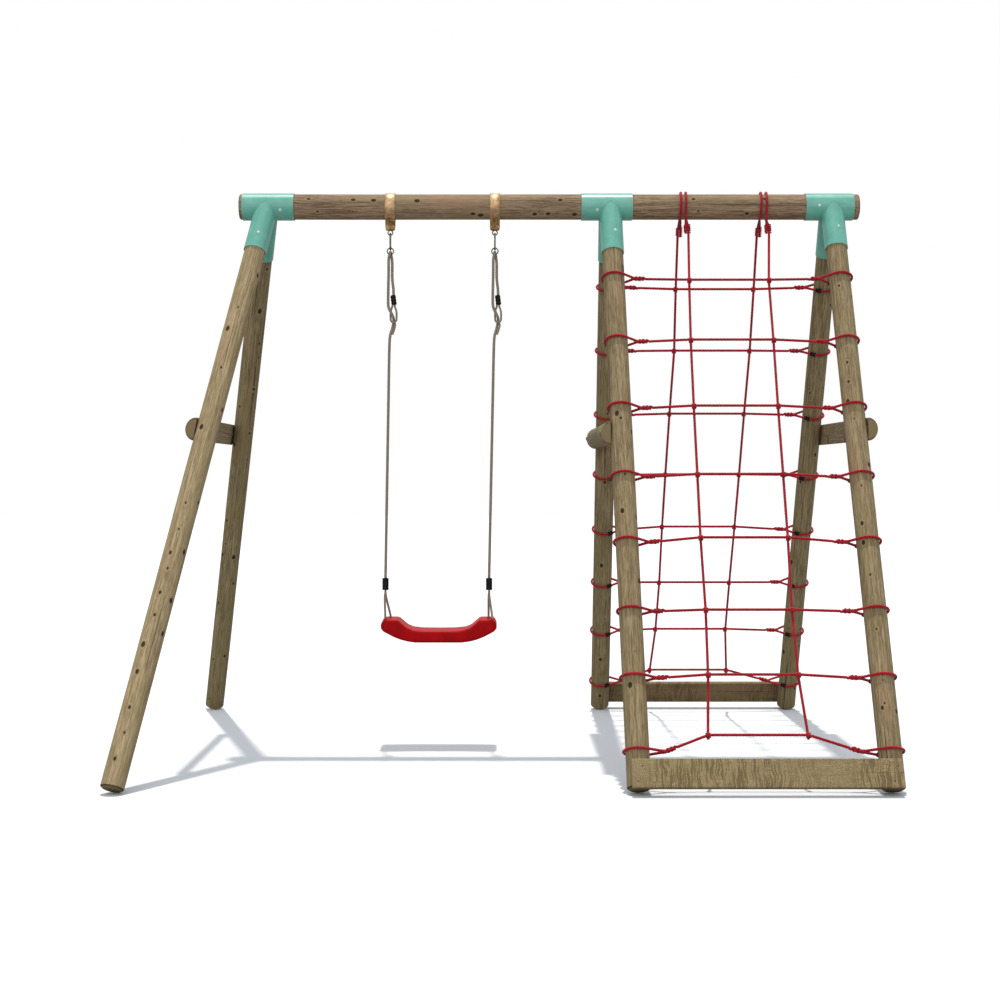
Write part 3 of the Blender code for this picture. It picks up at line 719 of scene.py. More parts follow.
def make_boards():
    """Rough-sawn planks with soft edges, and their screws."""
    for seed, (label, side) in enumerate(SIDES.items(), 50):
        left = leg_x("middle", BOARD_AT) - BOARD_OVERHANG
        right = leg_x("right", BOARD_AT) + BOARD_OVERHANG
        out, up = outward(side), -down_slope(side)
        origin = slope_point(0.0, BOARD_AT, side, LEG_BORE + BOARD_THICKNESS / 2)
        turn = Matrix((out * side, up, Vector((1, 0, 0)))).transposed().to_4x4()
        half, thick = BOARD_HEIGHT / 2, BOARD_THICKNESS / 2
        outline = soft_box(thick, -half, half, 0.0018, 3, upright=12)
        count = round((right - left) / BOARD_RINGS)
        rings = []
        for i in range(count + 1):
            x = left + (right - left) * i / count
            pull = 0.985 if i in (0, count) else 1.0
            ring = []
            for a, b in outline:
                rough = 0.00035 * noise.noise(Vector((a * 40, b * 60, x * 160 + seed)))
                dent = rough - 0.0003 if abs(a) > thick * 0.9 else 0.0
                ring.append((a * pull + dent * copysign(1, a), b, x))
            rings.append(ring)
        bm = bmesh.new()
        add_rings(bm, rings, cap_slot=1)
        # the rear plank takes the darker rear_board tint: painted shade
        name, tint = f"ground_board_{label}", f"{label}_board"
        skin, end = (tint, seed, 0.05, True), (tint, seed, BOARD_HEIGHT)
        place = Matrix.Translation(origin) @ turn
        timber_piece(name, "plank", finish_mesh(bm, 50), place, skin, end)
        screws = bmesh.new()
        for frame_name in ("middle", "right"):
            for lift in (-0.026, 0.026):
                x = leg_x(frame_name, BOARD_AT) + lift * 0.3
                face = slope_point(x, BOARD_AT, side, LEG_BORE + BOARD_THICKNESS - HEAD_SINK)
                add_screw(screws, frame_along(face + up * lift, out), 0.0042)
        piece(f"{name}_screws", finish_mesh(screws, 30), ZINC, "frame")


# --- Hardware ---


def dome(radius, rise, base, steps, shown):
    """Profile points of a low dome from its rim up."""
    turns = [pi / 2 * i / steps for i in range(shown)]
    return [(radius * cos(a), base + rise * sin(a)) for a in turns]


def add_screw(bm, place, radius):
    """A domed screw head with a small round socket."""
    rise, socket = radius * 0.55, radius * 0.38
    profile = [(radius, -0.002), *dome(radius, rise, 0.0, 7, 6)]
    add_lathe(bm, [*profile, (socket, rise * 0.93), (socket * 0.92, rise * 0.35)], 20, place)


def add_bolt(bm, place, radius, washer):
    """A round coach-bolt head on a washer."""
    add_lathe(bm, [(washer, -0.003), (washer, 0.0012), (washer - 0.0006, 0.0018)], 28, place)
    add_lathe(bm, [(radius, -0.002), *dome(radius, radius * 0.5, 0.0018, 8, 8)], 24, place)


# X and height of a screw in each beam tube; sideways shift and height of one in each socket
TUBE_SCREWS = {"left": (-0.8982, 2.101), "middle": (0.3432, 2.101), "right": (1.2124, 2.118)}
SOCKET_SCREWS = {"left": (0.005, 1.996), "middle": (0.012, 2.006), "right": (0.009, 2.022)}
WELD, LIP, OVERCUT = 0.0012, WALL / 2, 0.01


def socket_weld(frame_name, side):
    """The line where a leg socket meets the beam tube, round the socket."""
    start, along = leg_axis(frame_name, side)
    turn = along.to_track_quat("Z", "Y").to_matrix()
    points = []
    for i, a in enumerate(turns_of(WELD_ROUND)):
        spread = Vector((SOCKET_OUTER * cos(a), SOCKET_OUTER * sin(a), 0))
        rim = start + turn @ spread - at_beam(0)
        b = rim.y * along.y + rim.z * along.z
        grade = along.y**2 + along.z**2
        inside = b * b - grade * (rim.y**2 + rim.z**2 - TUBE_OUTER**2)
        ripple = 0.0003 * sin(i * 1.9)
        points.append(rim + along * ((-b + sqrt(max(inside, 0.0))) / grade + ripple) + at_beam(0))
    return points


def make_brackets():
    """Beam tubes and sockets bored out, with rounded lips, weld beads and screws."""
    inset, reach = Vector((LIP, 0, 0)), Vector((OVERCUT, 0, 0))
    for frame_name, leg in FRAMES.items():
        left, right = [at_beam(x) for x in leg["tube"]]
        socket_end = SOCKET_ENDS[frame_name]
        axes = [leg_axis(frame_name, side) for side in SIDES.values()]
        base = solid_cylinder(left + inset, right - inset, TUBE_OUTER)
        steps = []
        for start, along in axes:
            socket = solid_cylinder(start, start + along * (socket_end - LIP), SOCKET_OUTER)
            steps.append(("UNION", socket))
        for start, along in axes:
            ends = start + along * (LEG_TOP - FIT), start + along * (socket_end + 2 * OVERCUT)
            steps.append(("DIFFERENCE", solid_cylinder(*ends, LEG_BORE)))
        steps.append(("DIFFERENCE", solid_cylinder(left - reach, right + reach, BEAM_BORE)))
        bm = bmesh.new()
        mesh = boolean_mesh(base, steps)
        bm.from_mesh(mesh)
        bpy.data.meshes.remove(mesh)
        lips = [(frame_along(*axis), socket_end - LIP, LEG_BORE) for axis in axes]
        for x, turn in ((left + inset, -1), (right - inset, 1)):
            lips.append((frame_along(x, Vector((turn, 0, 0))), 0.0, BEAM_BORE))
        for place, height, bore in lips:
            before = set(bm.faces)
            foot = [(bore + 0.0002, height - 0.001), (bore + WALL - 0.0002, height - 0.001)]
            add_lathe(bm, [*arc(bore + LIP, height, LIP, -5, 185, 8), *foot], ROUND, place, True)
            # the lips take the pale rim paint: a painted highlight
            for face in set(bm.faces) - before:
                face.material_index = 1
        screws = bmesh.new()
        x, z = TUBE_SCREWS[frame_name]
        shift, high_z = SOCKET_SCREWS[frame_name]
        for side, (start, along) in zip(SIDES.values(), axes):
            add_tube(bm, socket_weld(frame_name, side), WELD, 8, closed=True)
            drop = z - BEAM_HEIGHT
            normal = Vector((0, side * sqrt(TUBE_OUTER**2 - drop**2), drop)).normalized()
            add_screw(screws, frame_along(at_beam(x) + normal * TUBE_OUTER, normal), 0.0062)
            lateral = along.cross(outward(side)).normalized()
            lateral *= copysign(1.0, lateral.x)
            tilt = asin(shift / SOCKET_OUTER)
            face = outward(side) * cos(tilt) + lateral * sin(tilt)
            spot = start + along * ((start.z - high_z) / -along.z + 0.012) + face * SOCKET_OUTER
            add_screw(screws, frame_along(spot, face), 0.0058)
        name, paints = f"bracket_{frame_name}", [PAINT, RIM_HIGHLIGHT_PAINT]
        piece(f"{name}_painted", finish_mesh(bm, 35), paints, "frame", [name])
        piece(f"{name}_screws", finish_mesh(screws, 30), SCREW, "frame")


YOKE_RIVET, YOKE_EASE = 2.043, 0.0015
EYE_SHANK = 0.0095


def make_hangers():
    """Straps with their yokes, eye screws, snap links with gates, and rope rings."""
    inner, outer, half, ease = BEAM_BORE, TUBE_OUTER, STRAP_WIDTH / 2, 0.0008
    band = [(inner, ease - half), (inner, half - ease), (inner + ease, half), (outer - ease, half)]
    band += [(outer, half - ease), (outer, ease - half)]
    band += [(outer - ease, -half), (inner + ease, -half)]
    for label, (x, _) in HANGERS.items():
        bm = bmesh.new()
        add_lathe(bm, band, STRAP_ROUND, frame_along(at_beam(x), Vector((1, 0, 0))), closed=True)
        strap = finish_mesh(bm, 50)
        piece(f"strap_band_{label}", strap, BRASS, "frame", [f"hanger_strap_{label}"])
        piece(f"strap_yoke_{label}", yoke_mesh(x), CAST, "frame")
        rivets = bmesh.new()
        for side in (-1, 1):
            spot = Vector((x, side * 0.0082, YOKE_RIVET))
            add_screw(rivets, frame_along(spot, Vector((0, side, 0))), 0.0042)
        piece(f"strap_rivets_{label}", finish_mesh(rivets, 30), ZINC, "frame")
        eye = bmesh.new()
        add_ring(eye, x, EYE_HEIGHT, EYE_RADIUS)
        foot = Matrix.Translation((x, 0, EYE_HEIGHT + EYE_RADIUS))
        add_lathe(eye, [(WIRE, 0), (WIRE, EYE_SHANK)], 16, foot)
        collar = [(WIRE + 0.0012, -0.0012), (WIRE + 0.0016, 0), (WIRE + 0.0012, 0.0006)]
        add_lathe(eye, collar, 20, foot)
        eye = finish_mesh(eye, 60)
        piece(f"eye_screw_{label}", eye, ZINC, "frame", [f"hanger_eye_{label}"])
        make_link(label, x)
        ring = bmesh.new()
        add_ring(ring, x, RING_HEIGHT, RING_RADIUS)
        ring = finish_mesh(ring, 60)
        piece(f"round_ring_{label}", ring, ZINC, "swing", [f"rope_ring_{label}"])


def add_ring(bm, x, height, radius):
    """A round wire ring in the XZ plane."""
    centre = Vector((x, 0, height))
    path = [centre + Vector((radius * cos(a), 0, radius * sin(a))) for a in turns_of(RING_ROUND)]
    add_tube(bm, path, WIRE, WIRE_SIDES, closed=True)


def yoke_mesh(x):
    """The tapered block under a strap, hollowed at its sides and eased all round."""
    bm = bmesh.new()
    half, under, hug = STRAP_WIDTH / 2 - 0.0005, BEAM_HEIGHT - TUBE_OUTER, BEAM_BORE + WALL / 2
    stations = [(YOKE_BOTTOM, half - 0.0045, 0.0058), (YOKE_BOTTOM + 0.0012, half - 0.0028, 0.0072)]
    stations += [(YOKE_BOTTOM + 0.004, half - 0.0012, 0.0080), (YOKE_RIVET, half, 0.0080)]
    stations += [(2.050, half, 0.0082), (2.058, half, 0.0150), (under - 0.0008, half, 0.0215)]
    rings = []
    for height, wide, deep in stations:
        outline = soft_box(wide, -deep, deep, YOKE_EASE, 4)
        if height < stations[-1][0]:
            rings.append([(x + a, b, height) for a, b in outline])
        else:
            lifts = [hug - sqrt(hug**2 - b * b) for _, b in outline]
            rings.append([(x + a, b, height + lift) for (a, b), lift in zip(outline, lifts)])
    add_rings(bm, rings)
    return finish_mesh(bm, 45)


def make_link(label, x):
    """An open wire link and its gate, with the rivet and the hooked nose."""
    reach = WIRE + FIT + LINK_WIRE
    top = EYE_HEIGHT - EYE_RADIUS + reach - LINK_BEND
    bottom = RING_HEIGHT + RING_RADIUS - reach + LINK_BEND
    turns = [pi * i / 16 for i in range(17)]
    path = [(LINK_BEND * cos(a), top + LINK_BEND * sin(a)) for a in turns]
    path += [(-LINK_BEND * cos(a), bottom - LINK_BEND * sin(a)) for a in turns]
    path.append((LINK_BEND, GATE_BOTTOM - 0.001))
    bm = bmesh.new()
    add_tube(bm, [Vector((x, y, z)) for y, z in path], LINK_WIRE, WIRE_SIDES)
    body = finish_mesh(bm, 50)
    piece(f"link_body_{label}", body, ZINC, "swing", [f"snap_link_{label}"])
    bm = bmesh.new()
    stations = [(0.0020, GATE_BOTTOM), (GATE_WIRE, GATE_BOTTOM + 0.0008)]
    stations += [(GATE_WIRE, GATE_TOP - 0.0008), (0.0020, GATE_TOP)]
    add_lathe(bm, stations, 16, Matrix.Translation((x, LINK_BEND, 0)))
    rivet = frame_along(Vector((x - 0.0034, LINK_BEND, GATE_BOTTOM + 0.0022)), Vector((1, 0, 0)))
    add_lathe(bm, [(0.0008, 0), (0.0013, 0.0005), (0.0013, 0.0063), (0.0008, 0.0068)], 12, rivet)
    gate = finish_mesh(bm, 50)
    piece(f"link_gate_{label}", gate, ZINC, f"gate_{label}", [f"snap_gate_{label}"])


# --- Nets ---

NET_LAY = 0.034
SPLICE_LENGTH = 0.046  # of the two strands laid up together beyond a leg loop
FERRULE_AT, FERRULE_LENGTH, FERRULE_RADIUS = 0.027, 0.022, 0.0082
LOOP_STEPS, LAID_STEPS, TAIL_STEPS, WRAP_STEPS = 30, 16, 13, 14
ROUNDING = 0.02  # how far from a corner a rope starts to bend
WRAP_WIRE, WRAP_SIDES = 0.0026, 7
# A knot's turns: share along X, half width, half depth and wire radius
KNOT_TURNS = ((1.0, 0.0098, 0.0112, 0.0024), (0.4, 0.0088, 0.0122, 0.0021))


def loop_round(radius, splice, offset):
    """Flat points of a rope loop round the origin, from the splice and back to it."""
    start = atan2(offset, splice) + acos(radius / hypot(splice, offset))
    sweep = 2 * pi - 2 * start
    turns = [start + sweep * i / LOOP_STEPS for i in range(LOOP_STEPS + 1)]
    loop = [(radius * cos(a), radius * sin(a)) for a in turns]
    return [(splice, offset), *loop, (splice, -offset)]


def row_place(label, index):
    """A row's loops: how far down they lie and how far they reach; and the X of its crossings."""
    splice = LAST_SPLICE if index == len(NET_ROWS) - 1 else LEG_SPLICE
    crossings = [places[index] for _, places in UPRIGHTS[label].values()]
    return NET_ROWS[index] + LOOP_DROPS[label][index], splice, crossings


def row_points(label, index):
    """Centreline of a net row, as in CAD but with finer arcs and with its splices laid up."""
    side = SIDES[label]
    down, splice, crossings = row_place(label, index)
    flat = loop_round(LEG_RADIUS + NET_ROPE + ROPE_GAP, splice, LAYER * 0.75)
    corners = [slope_point(x, NET_ROWS[index], side, LAYER) for x in crossings]
    ends = []
    for frame_name, toward, corner in zip(("middle", "right"), (1, -1), corners):
        x = leg_x(frame_name, down)
        loop = [slope_point(x + toward * a, down, side, out) for a, out in flat]
        meet = slope_point(x + toward * splice, down, side)
        run, out = (corner - meet).normalized(), outward(side)
        across = run.cross(out)
        laid = []
        for i in range(1, LAID_STEPS + 1):
            turn = 2 * pi * 1.75 * i / LAID_STEPS
            swell = 0.0052 * sin(pi * (i + 2) / (LAID_STEPS + 3)) ** 0.5
            wave = out * sin(turn) + across * cos(turn)
            laid.append((meet + run * SPLICE_LENGTH * i / LAID_STEPS, wave * swell))
        tail = [spot - wave for spot, wave in laid[:TAIL_STEPS]]
        ends.append([*reversed(tail), *reversed(loop), *[spot + wave for spot, wave in laid]])
    return [*ends[0], *corners, *reversed(ends[1])]


def rounded(points, steps=4):
    """Round the corners of a polyline with short curves."""
    path = [points[0]]
    for before, here, after in zip(points, points[1:], points[2:]):
        back, ahead = before - here, after - here
        if back.angle(ahead, pi) > radians(172):
            path.append(here)
            continue
        cut = min(ROUNDING, back.length * 0.45, ahead.length * 0.45)
        a, b = here + back.normalized() * cut, here + ahead.normalized() * cut
        for t in [i / steps for i in range(steps + 1)]:
            path.append(a * (1 - t) ** 2 + here * 2 * t * (1 - t) + b * t**2)
    return [*path, points[-1]]


def add_crossing_knot(bm, spot, side):
    """A small lashing over a crossing: two flat turns of thin rope and two steep ones."""
    out, down, across = outward(side), down_slope(side), Vector((1, 0, 0))
    for flatness, wide, deep, wire in KNOT_TURNS:
        for slant in (-1, 1):
            lean = (across * flatness + down * slant).normalized()
            turns = turns_of(KNOT_ROUND)
            path = [spot + lean * wide * cos(a) + out * deep * sin(a) for a in turns]
            add_tube(bm, path, wire, KNOT_SIDES, closed=True)


def add_splice_wrap(bm, start, end, radius=0.0105, turns=2):
    """A thin strand wound round two ropes that lie together, narrower at its end."""
    place, length = frame_along(start, end - start), (end - start).length
    count = turns * WRAP_STEPS
    path = []
    for i in range(count + 1):
        a, reach = 2 * pi * turns * i / count, radius * (1 - 0.25 * i / count)
        spot = Vector((reach * cos(a), reach * 0.62 * sin(a), length * i / count))
        path.append(place @ spot)
    add_tube(bm, path, WRAP_WIRE, WRAP_SIDES)


def add_ferrule(bm, x, toward, down, side):
    """A black sleeve on the strand that passes behind the leg."""
    reach = LEG_RADIUS + NET_ROPE + ROPE_GAP
    turn = acos(FERRULE_AT / reach)
    spot = slope_point(x + toward * reach * cos(turn), down, side, -reach * sin(turn))
    tangent = Vector((toward * sin(turn), 0, 0)) + outward(side) * cos(turn)
    half, radius = FERRULE_LENGTH / 2, FERRULE_RADIUS
    profile = [(NET_ROPE * 0.8, -half), (radius - 0.001, -half), (radius, -half + 0.001)]
    profile += [(radius, half - 0.001), (radius - 0.001, half), (NET_ROPE * 0.8, half)]
    add_lathe(bm, profile, 24, frame_along(spot, tangent.normalized()))


def make_net_rows():
    """The rows with their crossing knots and splices, and the ferrules on their loops."""
    for label, side in SIDES.items():
        for index in range(len(NET_ROWS)):
            down, splice, crossings = row_place(label, index)
            bm, ferrules = bmesh.new(), bmesh.new()
            add_rope(bm, rounded(row_points(label, index)), NET_ROPE, NET_LAY)
            for x in crossings:
                add_crossing_knot(bm, slope_point(x, NET_ROWS[index], side), side)
            for frame_name, toward in (("middle", 1), ("right", -1)):
                x = leg_x(frame_name, down)
                wrap = [slope_point(x + toward * (splice + d), down, side) for d in (-0.007, 0.005)]
                add_splice_wrap(bm, *wrap)
                add_ferrule(ferrules, x, toward, down, side)
            name = f"{label}_net_row_{index + 1}"
            piece(f"{name}_rope", finish_mesh(bm, 80), RED_ROPE, "frame", [name])
            piece(f"{name}_ferrules", finish_mesh(ferrules, 40), BLACK, "frame")


def make_net_uprights():
    """The uprights, each looped over the beam and wound together below it."""
    flat = loop_round(BEAM_RADIUS + NET_ROPE + ROPE_GAP, BEAM_SPLICE, 0.0)
    flat = [(BEAM_SPLICE + SPLICE_TAIL, 0.0), *flat]
    for label, side in SIDES.items():
        out, down = outward(side), down_slope(side)
        gap = side * (2 * NET_ROPE + ROPE_GAP)
        for place, (top_x, crossings) in UPRIGHTS[label].items():
            spread = (crossings[0] - top_x) * SPLICE_TAIL / (NET_ROWS[0] * SLOPE - BEAM_SPLICE)
            points = []
            for i, (along, off) in enumerate(flat):
                drift = gap * (1 - max(0, i - 1) / (len(flat) - 2)) + (0.0 if i else spread)
                points.append(at_beam(top_x + drift) + down * along + out * off)
            points += [slope_point(x, row, side, -LAYER) for x, row in zip(crossings, NET_ROWS)]
            points.append(points[-1] + down * 0.012)
            bm = bmesh.new()
            add_rope(bm, rounded(points), NET_ROPE, NET_LAY)
            add_beam_wrap(bm, at_beam(top_x + gap / 2) + down * (BEAM_SPLICE - 0.008), side)
            name = f"{label}_net_upright_{place}"
            piece(f"{name}_rope", finish_mesh(bm, 80), RED_ROPE, "frame", [name])


def add_beam_wrap(bm, start, side, length=0.034, turns=4):
    """The wound splice under the beam, wide across X where the strands lie side by side."""
    out, end = outward(side), start + down_slope(side) * length
    count = turns * WRAP_STEPS
    path = []
    for i in range(count + 1):
        a = 2 * pi * turns * i / count
        spot = start + (end - start) * i / count
        path.append(spot + Vector((0.0118 * cos(a), 0, 0)) + out * 0.0078 * sin(a))
    add_tube(bm, path, WRAP_WIRE, WRAP_SIDES)


# --- Swing ---

# The seat rope from its straight run, through the upper crimp and the ring, and down again:
# points (beside the ring, front to rear, height)
RING_ROUTE = (
    (-0.0015, 0.0030, 1.6100),
    (0.0060, 0.0115, 1.6400),
    (0.0115, 0.0128, 1.6640),
    (0.0125, 0.0085, 1.6755),
    (0.0125, 0.0000, 1.6800),
    (0.0105, -0.0095, 1.6870),
    (0.0050, -0.0132, 1.7000),
    (-0.0050, -0.0120, 1.7200),
    (-0.0085, -0.0070, 1.7480),
    (-0.0068, -0.0050, 1.8500),
    (-0.0062, -0.0080, 1.9100),
    (-0.0030, -0.0100, 1.9300),
    (-0.0010, -0.0070, 1.9392),
    (0.0, 0.0, 1.9422),
    (0.0010, 0.0070, 1.9392),
    (0.0030, 0.0100, 1.9300),
    (0.0070, 0.0070, 1.9000),
    (0.0074, 0.0030, 1.8400),
    (0.0120, 0.0, 1.7950),
)
ROPE_TAIL = (
    (0.0115, 0.0060, 1.6740),
    (0.0190, 0.0040, 1.6580),
    (0.0160, 0.0010, 1.6400),
    (0.0085, -0.0010, 1.6170),
)
HEMP_FULLNESS = 1.05  # hemp strands swell beside the nominal radius
SWING_LAY, LOOP_LAY, BRIDLE_LAY = 0.030, 0.022, 0.024
BEND_STEPS = 6


def swing_rope_path(x_top, x_low):
    """The seat rope's route, as in CAD."""
    low = LOWER_CRIMP["height"] + LOWER_CRIMP["length"] / 2 + FIT
    crimp_top = UPPER_CRIMP["height"] + UPPER_CRIMP["length"] / 2 + 2 * FIT
    lean = (x_low - x_top + 0.0036) / (1.600 - low)
    straight = [(x_low - lean * (z - low), 0, z) for z in (low, 0.85, 1.10, 1.35, 1.55)]
    route = [*RING_ROUTE, (UPPER_CRIMP["shift"], 0.0, crimp_top)]
    return smooth_path([*straight, *[(x_top + a, y, z) for a, y, z in route]], BEND_STEPS)


def adjuster_path(x):
    """The small loop that hangs under an upper crimp."""
    centre = x + UPPER_CRIMP["shift"]
    top = UPPER_CRIMP["height"] - UPPER_CRIMP["length"] / 2 - FIT
    wide, bottom = 0.0115, 1.6660
    half = [(0.0050, top), (0.0050, top - 0.006), (wide, 1.707), (wide, bottom + wide)]
    bend = [pi * i / 6 for i in range(1, 6)]
    low_arc = [(wide * cos(a), bottom + wide - wide * sin(a)) for a in bend]
    route = [*half, *low_arc, *[(-a, z) for a, z in reversed(half)]]
    return smooth_path([(centre + a, 0, z) for a, z in route], 5)


def hole_places(side):
    """The two rope holes at one end of the seat, front and rear, as (x, y)."""
    out, splay, depth = SEAT_HOLE["out"], SEAT_HOLE["splay"], SEAT_HOLE["depth"]
    return [(SEAT_X + side * (out + turn * splay), -turn * depth) for turn in (1, -1)]


def bridle_path(x, side):
    """The rope from one seat hole, up through the lower crimp, to the other hole."""
    top = LOWER_CRIMP["height"] - LOWER_CRIMP["length"] / 2 - FIT - BRIDLE_ROPE
    low = SEAT_HOLE["floor"] + FIT
    legs = []
    for (foot_x, foot_y), turn in zip(hole_places(side), (-1, 1)):
        mouth = Vector((foot_x, foot_y, low + 0.027))
        shoulder = Vector((x - side * turn * 0.002, turn * 0.0130, top - 0.026))
        feet = (foot_x, foot_y, low), (foot_x, foot_y, low + 0.014)
        near = (x, turn * 0.0055, top - 0.005)
        legs.append([*feet, mouth, mouth.lerp(shoulder, 0.12), shoulder, near])
    return smooth_path([*legs[0], (x, 0.0, top), *reversed(legs[1])], BEND_STEPS)


def crimp_mesh(sizes, ribs, tilt):
    """A moulded sleeve with raised ribs, tilted about Y."""
    radius, half, steps = sizes["radius"], sizes["length"] / 2, ribs * 8
    profile = [(radius * 0.62, -half), (radius - 0.0016, -half), (radius - 0.0008, -half + 0.0008)]
    for i in range(steps + 1):
        wave = 0.5 - 0.5 * cos(2 * pi * ribs * i / steps)
        height = -half + 0.0014 + (2 * half - 0.0028) * i / steps
        profile.append((radius - 0.0014 + 0.0014 * wave**0.5, height))
    profile += [(radius - 0.0008, half - 0.0008), (radius - 0.0016, half), (radius * 0.62, half)]
    bm = bmesh.new()
    add_lathe(bm, profile, 32, Matrix.Rotation(tilt, 4, "Y"))
    return finish_mesh(bm, 60)


def rope_mesh(path, radius, lay):
    bm = bmesh.new()
    add_rope(bm, path, radius, lay)
    return finish_mesh(bm, 80)


def make_swing_ropes():
    """The ropes that carry the seat, their loose tails and their crimps."""
    for (label, (x_top, x_low)), side in zip(HANGERS.items(), (-1, 1)):
        tail = smooth_path([(x_top + a, b, z) for a, b, z in ROPE_TAIL], BEND_STEPS)
        tail = rope_mesh(tail, LOOP_ROPE, LOOP_LAY)
        piece(f"rope_tail_{label}", tail, HEMP_ROPE, "swing")
        for name, path, radius, lay in (
            ("swing_rope", swing_rope_path(x_top, x_low), SWING_ROPE, SWING_LAY),
            ("adjuster_loop", adjuster_path(x_top), LOOP_ROPE, LOOP_LAY),
            ("seat_bridle", bridle_path(x_low, side), BRIDLE_ROPE, BRIDLE_LAY),
        ):
            node, mesh = f"{name}_{label}", rope_mesh(path, radius * HEMP_FULLNESS, lay)
            piece(f"{node}_strands", mesh, HEMP_ROPE, "swing", [node])
        for name, sizes, x, ribs, tilt in (
            ("upper_crimp", UPPER_CRIMP, x_top + UPPER_CRIMP["shift"], 3, radians(-7)),
            ("lower_crimp", LOWER_CRIMP, x_low, 5, 0.0),
        ):
            node, mesh = f"{name}_{label}", crimp_mesh(sizes, ribs, tilt)
            place = Matrix.Translation((x, 0, sizes["height"]))
            piece(f"{node}_sleeve", mesh, BLACK, "swing", [node], place)


# (out from the middle, height) of the seat's upper and lower faces
SEAT_TOP = ((0.0, 0.4565), (0.064, 0.4570), (0.104, 0.4615), (0.127, 0.4710), (0.144, 0.4860))
SEAT_TOP += ((0.161, 0.5000), (0.170, 0.5005), (0.212, 0.5005), (0.2190, 0.4965))
SEAT_TOP += ((0.2245, 0.4870), (0.2262, 0.4780))
SEAT_UNDER = ((0.0, 0.4105), (0.090, 0.4105), (0.120, 0.4145), (0.151, 0.4225), (0.176, 0.4325))
SEAT_UNDER += ((0.200, 0.4450), (0.2150, 0.4530), (0.2230, 0.4600), (0.2262, 0.4690))
SEAT_RIM = 0.5005
SEAT_STEPS, SEAT_ROUND = 70, 0.016
GRIP_REACH, GRIP_PITCH, GRIP_DEPTH = 0.10, 0.014, 0.0006
COLLAR = ((0.0092, -0.003), (0.0088, 0.0004), (0.0078, 0.0014), (0.0066, 0.0012), (0.0056, -0.002))


def curve_height(points, x):
    """Height at x on a line through (x, height) points."""
    for (x0, z0), (x1, z1) in zip(points, points[1:]):
        if x <= x1:
            return z0 + (z1 - z0) * (x - x0) / (x1 - x0)
    return points[-1][1]


def softened(points, x, spread=0.004):
    """The same on either side of 0, averaged over a short stretch to round its corners."""
    shifts = [spread * (i - 4) / 4 for i in range(9)]
    return sum(curve_height(points, min(abs(x + s), points[-1][0])) for s in shifts) / 9


def make_seat():
    """The moulded seat as a loft of rounded sections, with raised rope collars."""
    end = SEAT_TOP[-1][0]
    rings = []
    for i in range(-SEAT_STEPS, SEAT_STEPS + 1):
        x = end * sin(pi / 2 * i / SEAT_STEPS)
        top, under = softened(SEAT_TOP, x), softened(SEAT_UNDER, x)
        near_end = max(0.0, (abs(x) - (end - SEAT_ROUND)) / SEAT_ROUND)
        depth = SEAT_DEPTH / 2 - SEAT_ROUND * (1 - sqrt(max(0.0, 1 - near_end**2)))
        ease = min(SEAT_EDGE, (top - under) / 2.05)
        outline = soft_box(depth, under, top, ease, 7, level=10, upright=4)
        rings.append([(SEAT_X + x, y, z + seat_relief(x, y, z, top, depth)) for y, z in outline])
    bm = bmesh.new()
    add_rings(bm, rings)
    for side in (-1, 1):
        for x, y in hole_places(side):
            add_lathe(bm, COLLAR, 28, Matrix.Translation((x, y, SEAT_RIM)), True)
    seat = finish_mesh(bm, 60)
    piece("moulded_seat", seat, RED_PLASTIC, "swing", ["swing_seat"])


def seat_relief(x, y, z, top, depth):
    """Shallow grip grooves across the sitting surface."""
    if z < top - 0.001 or abs(x) > GRIP_REACH or abs(y) > depth - 0.018:
        return 0.0
    fade = min(1.0, (GRIP_REACH - abs(x)) / 0.012)
    return -GRIP_DEPTH * fade * (0.5 + 0.5 * cos(2 * pi * x / GRIP_PITCH))


# --- Stage, light and camera ---


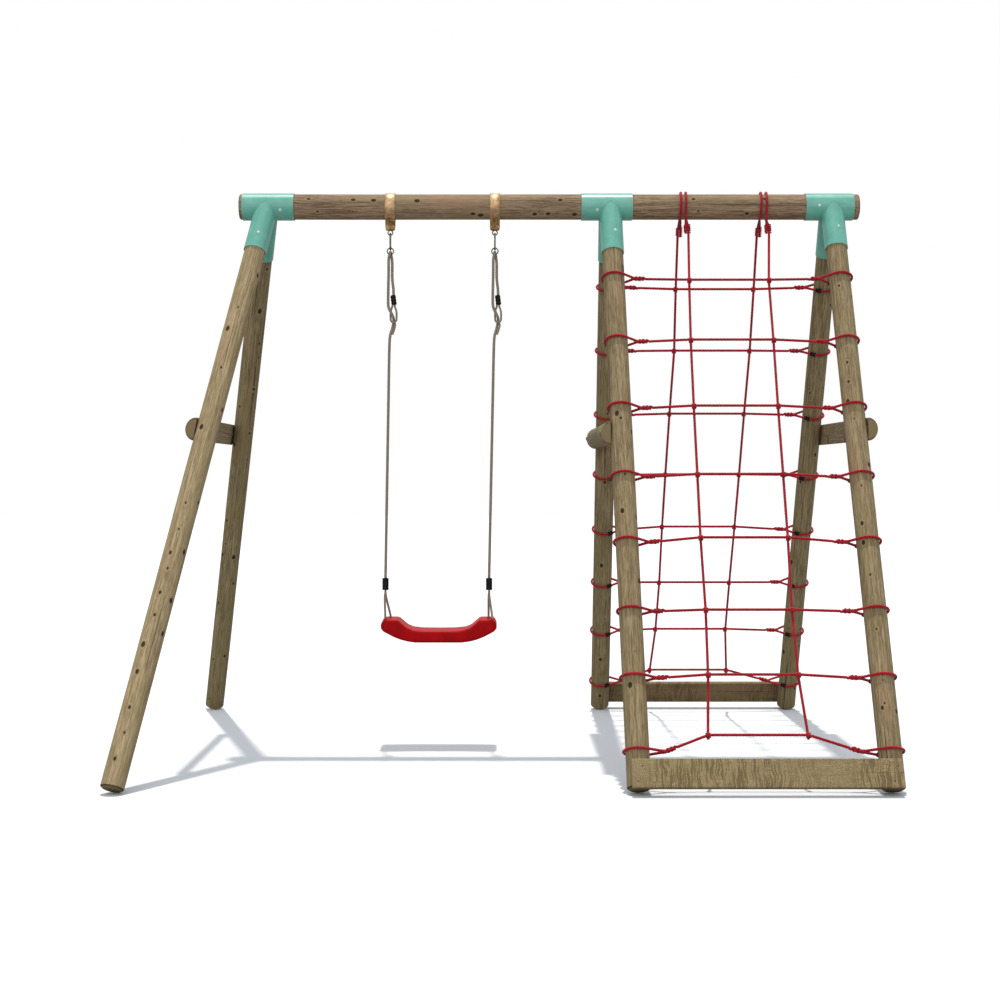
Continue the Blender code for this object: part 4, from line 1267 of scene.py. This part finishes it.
def make_stage():
    """A wide floor: pale where the camera sees it, darker for the light it throws back."""
    bm = bmesh.new()
    bmesh.ops.create_grid(bm, x_segments=1, y_segments=1, size=40)
    mesh = bpy.data.meshes.new("floor")
    bm.to_mesh(mesh)
    bm.free()
    floor = linked("floor", mesh)
    floor.location.z = -0.0005
    n = Nodes("floor_paint")
    seen = n.add("LightPath").outputs["Is Camera Ray"]
    pale = n.mix(seen, (0.30, 0.30, 0.30, 1.0), (0.86, 0.875, 0.90, 1.0))
    n.set(Base_Color=pale, Roughness=0.9, Specular_IOR_Level=0.0)
    mesh.materials.append(n.material)


def make_world():
    """A cool sky for the light, and plain white behind the object."""
    world = bpy.data.worlds.new("studio")
    bpy.context.scene.world = world
    world.use_nodes = True
    nodes, link = world.node_tree.nodes, world.node_tree.links.new
    lit = nodes["Background"]
    lit.inputs["Color"].default_value = (0.90, 0.95, 1.0, 1.0)
    lit.inputs["Strength"].default_value = 0.59
    seen = nodes.new("ShaderNodeBackground")
    seen.inputs["Color"].default_value = (1.0, 1.0, 1.0, 1.0)
    rays, pick = nodes.new("ShaderNodeLightPath"), nodes.new("ShaderNodeMixShader")
    link(rays.outputs["Is Camera Ray"], pick.inputs["Fac"])
    link(lit.outputs[0], pick.inputs[1])
    link(seen.outputs[0], pick.inputs[2])
    link(pick.outputs[0], nodes["World Output"].inputs["Surface"])


def add_sun(name, direction, strength, angle, tint):
    data = bpy.data.lights.new(name, "SUN")
    data.energy, data.angle, data.color = strength, radians(angle), tint
    linked(name, data).rotation_euler = Vector(direction).to_track_quat("-Z", "Y").to_euler()


def make_camera():
    data = bpy.data.cameras.new("camera")
    data.lens, data.sensor_width = 63.0, 36.0
    data.shift_x, data.shift_y = 0.007, -0.024
    camera = linked("camera", data)
    camera.location = (-0.0649, -6.898, 1.06)
    camera.rotation_euler = (pi / 2, 0, 0)
    bpy.context.scene.camera = camera


bpy.context.scene.view_settings.view_transform = "Standard"
make_camera()
make_stage()
make_world()
add_sun("high_light", (0.0, -0.16, -1.0), 2.3, 1.5, (1.0, 0.97, 0.92))
add_sun("front_fill", (0.12, 1.0, -0.45), 0.9, 60.0, (1.0, 1.0, 1.0))
make_beam()
make_legs()
make_braces()
make_boards()
make_brackets()
make_hangers()
make_net_rows()
make_net_uprights()
make_swing_ropes()
make_seat()
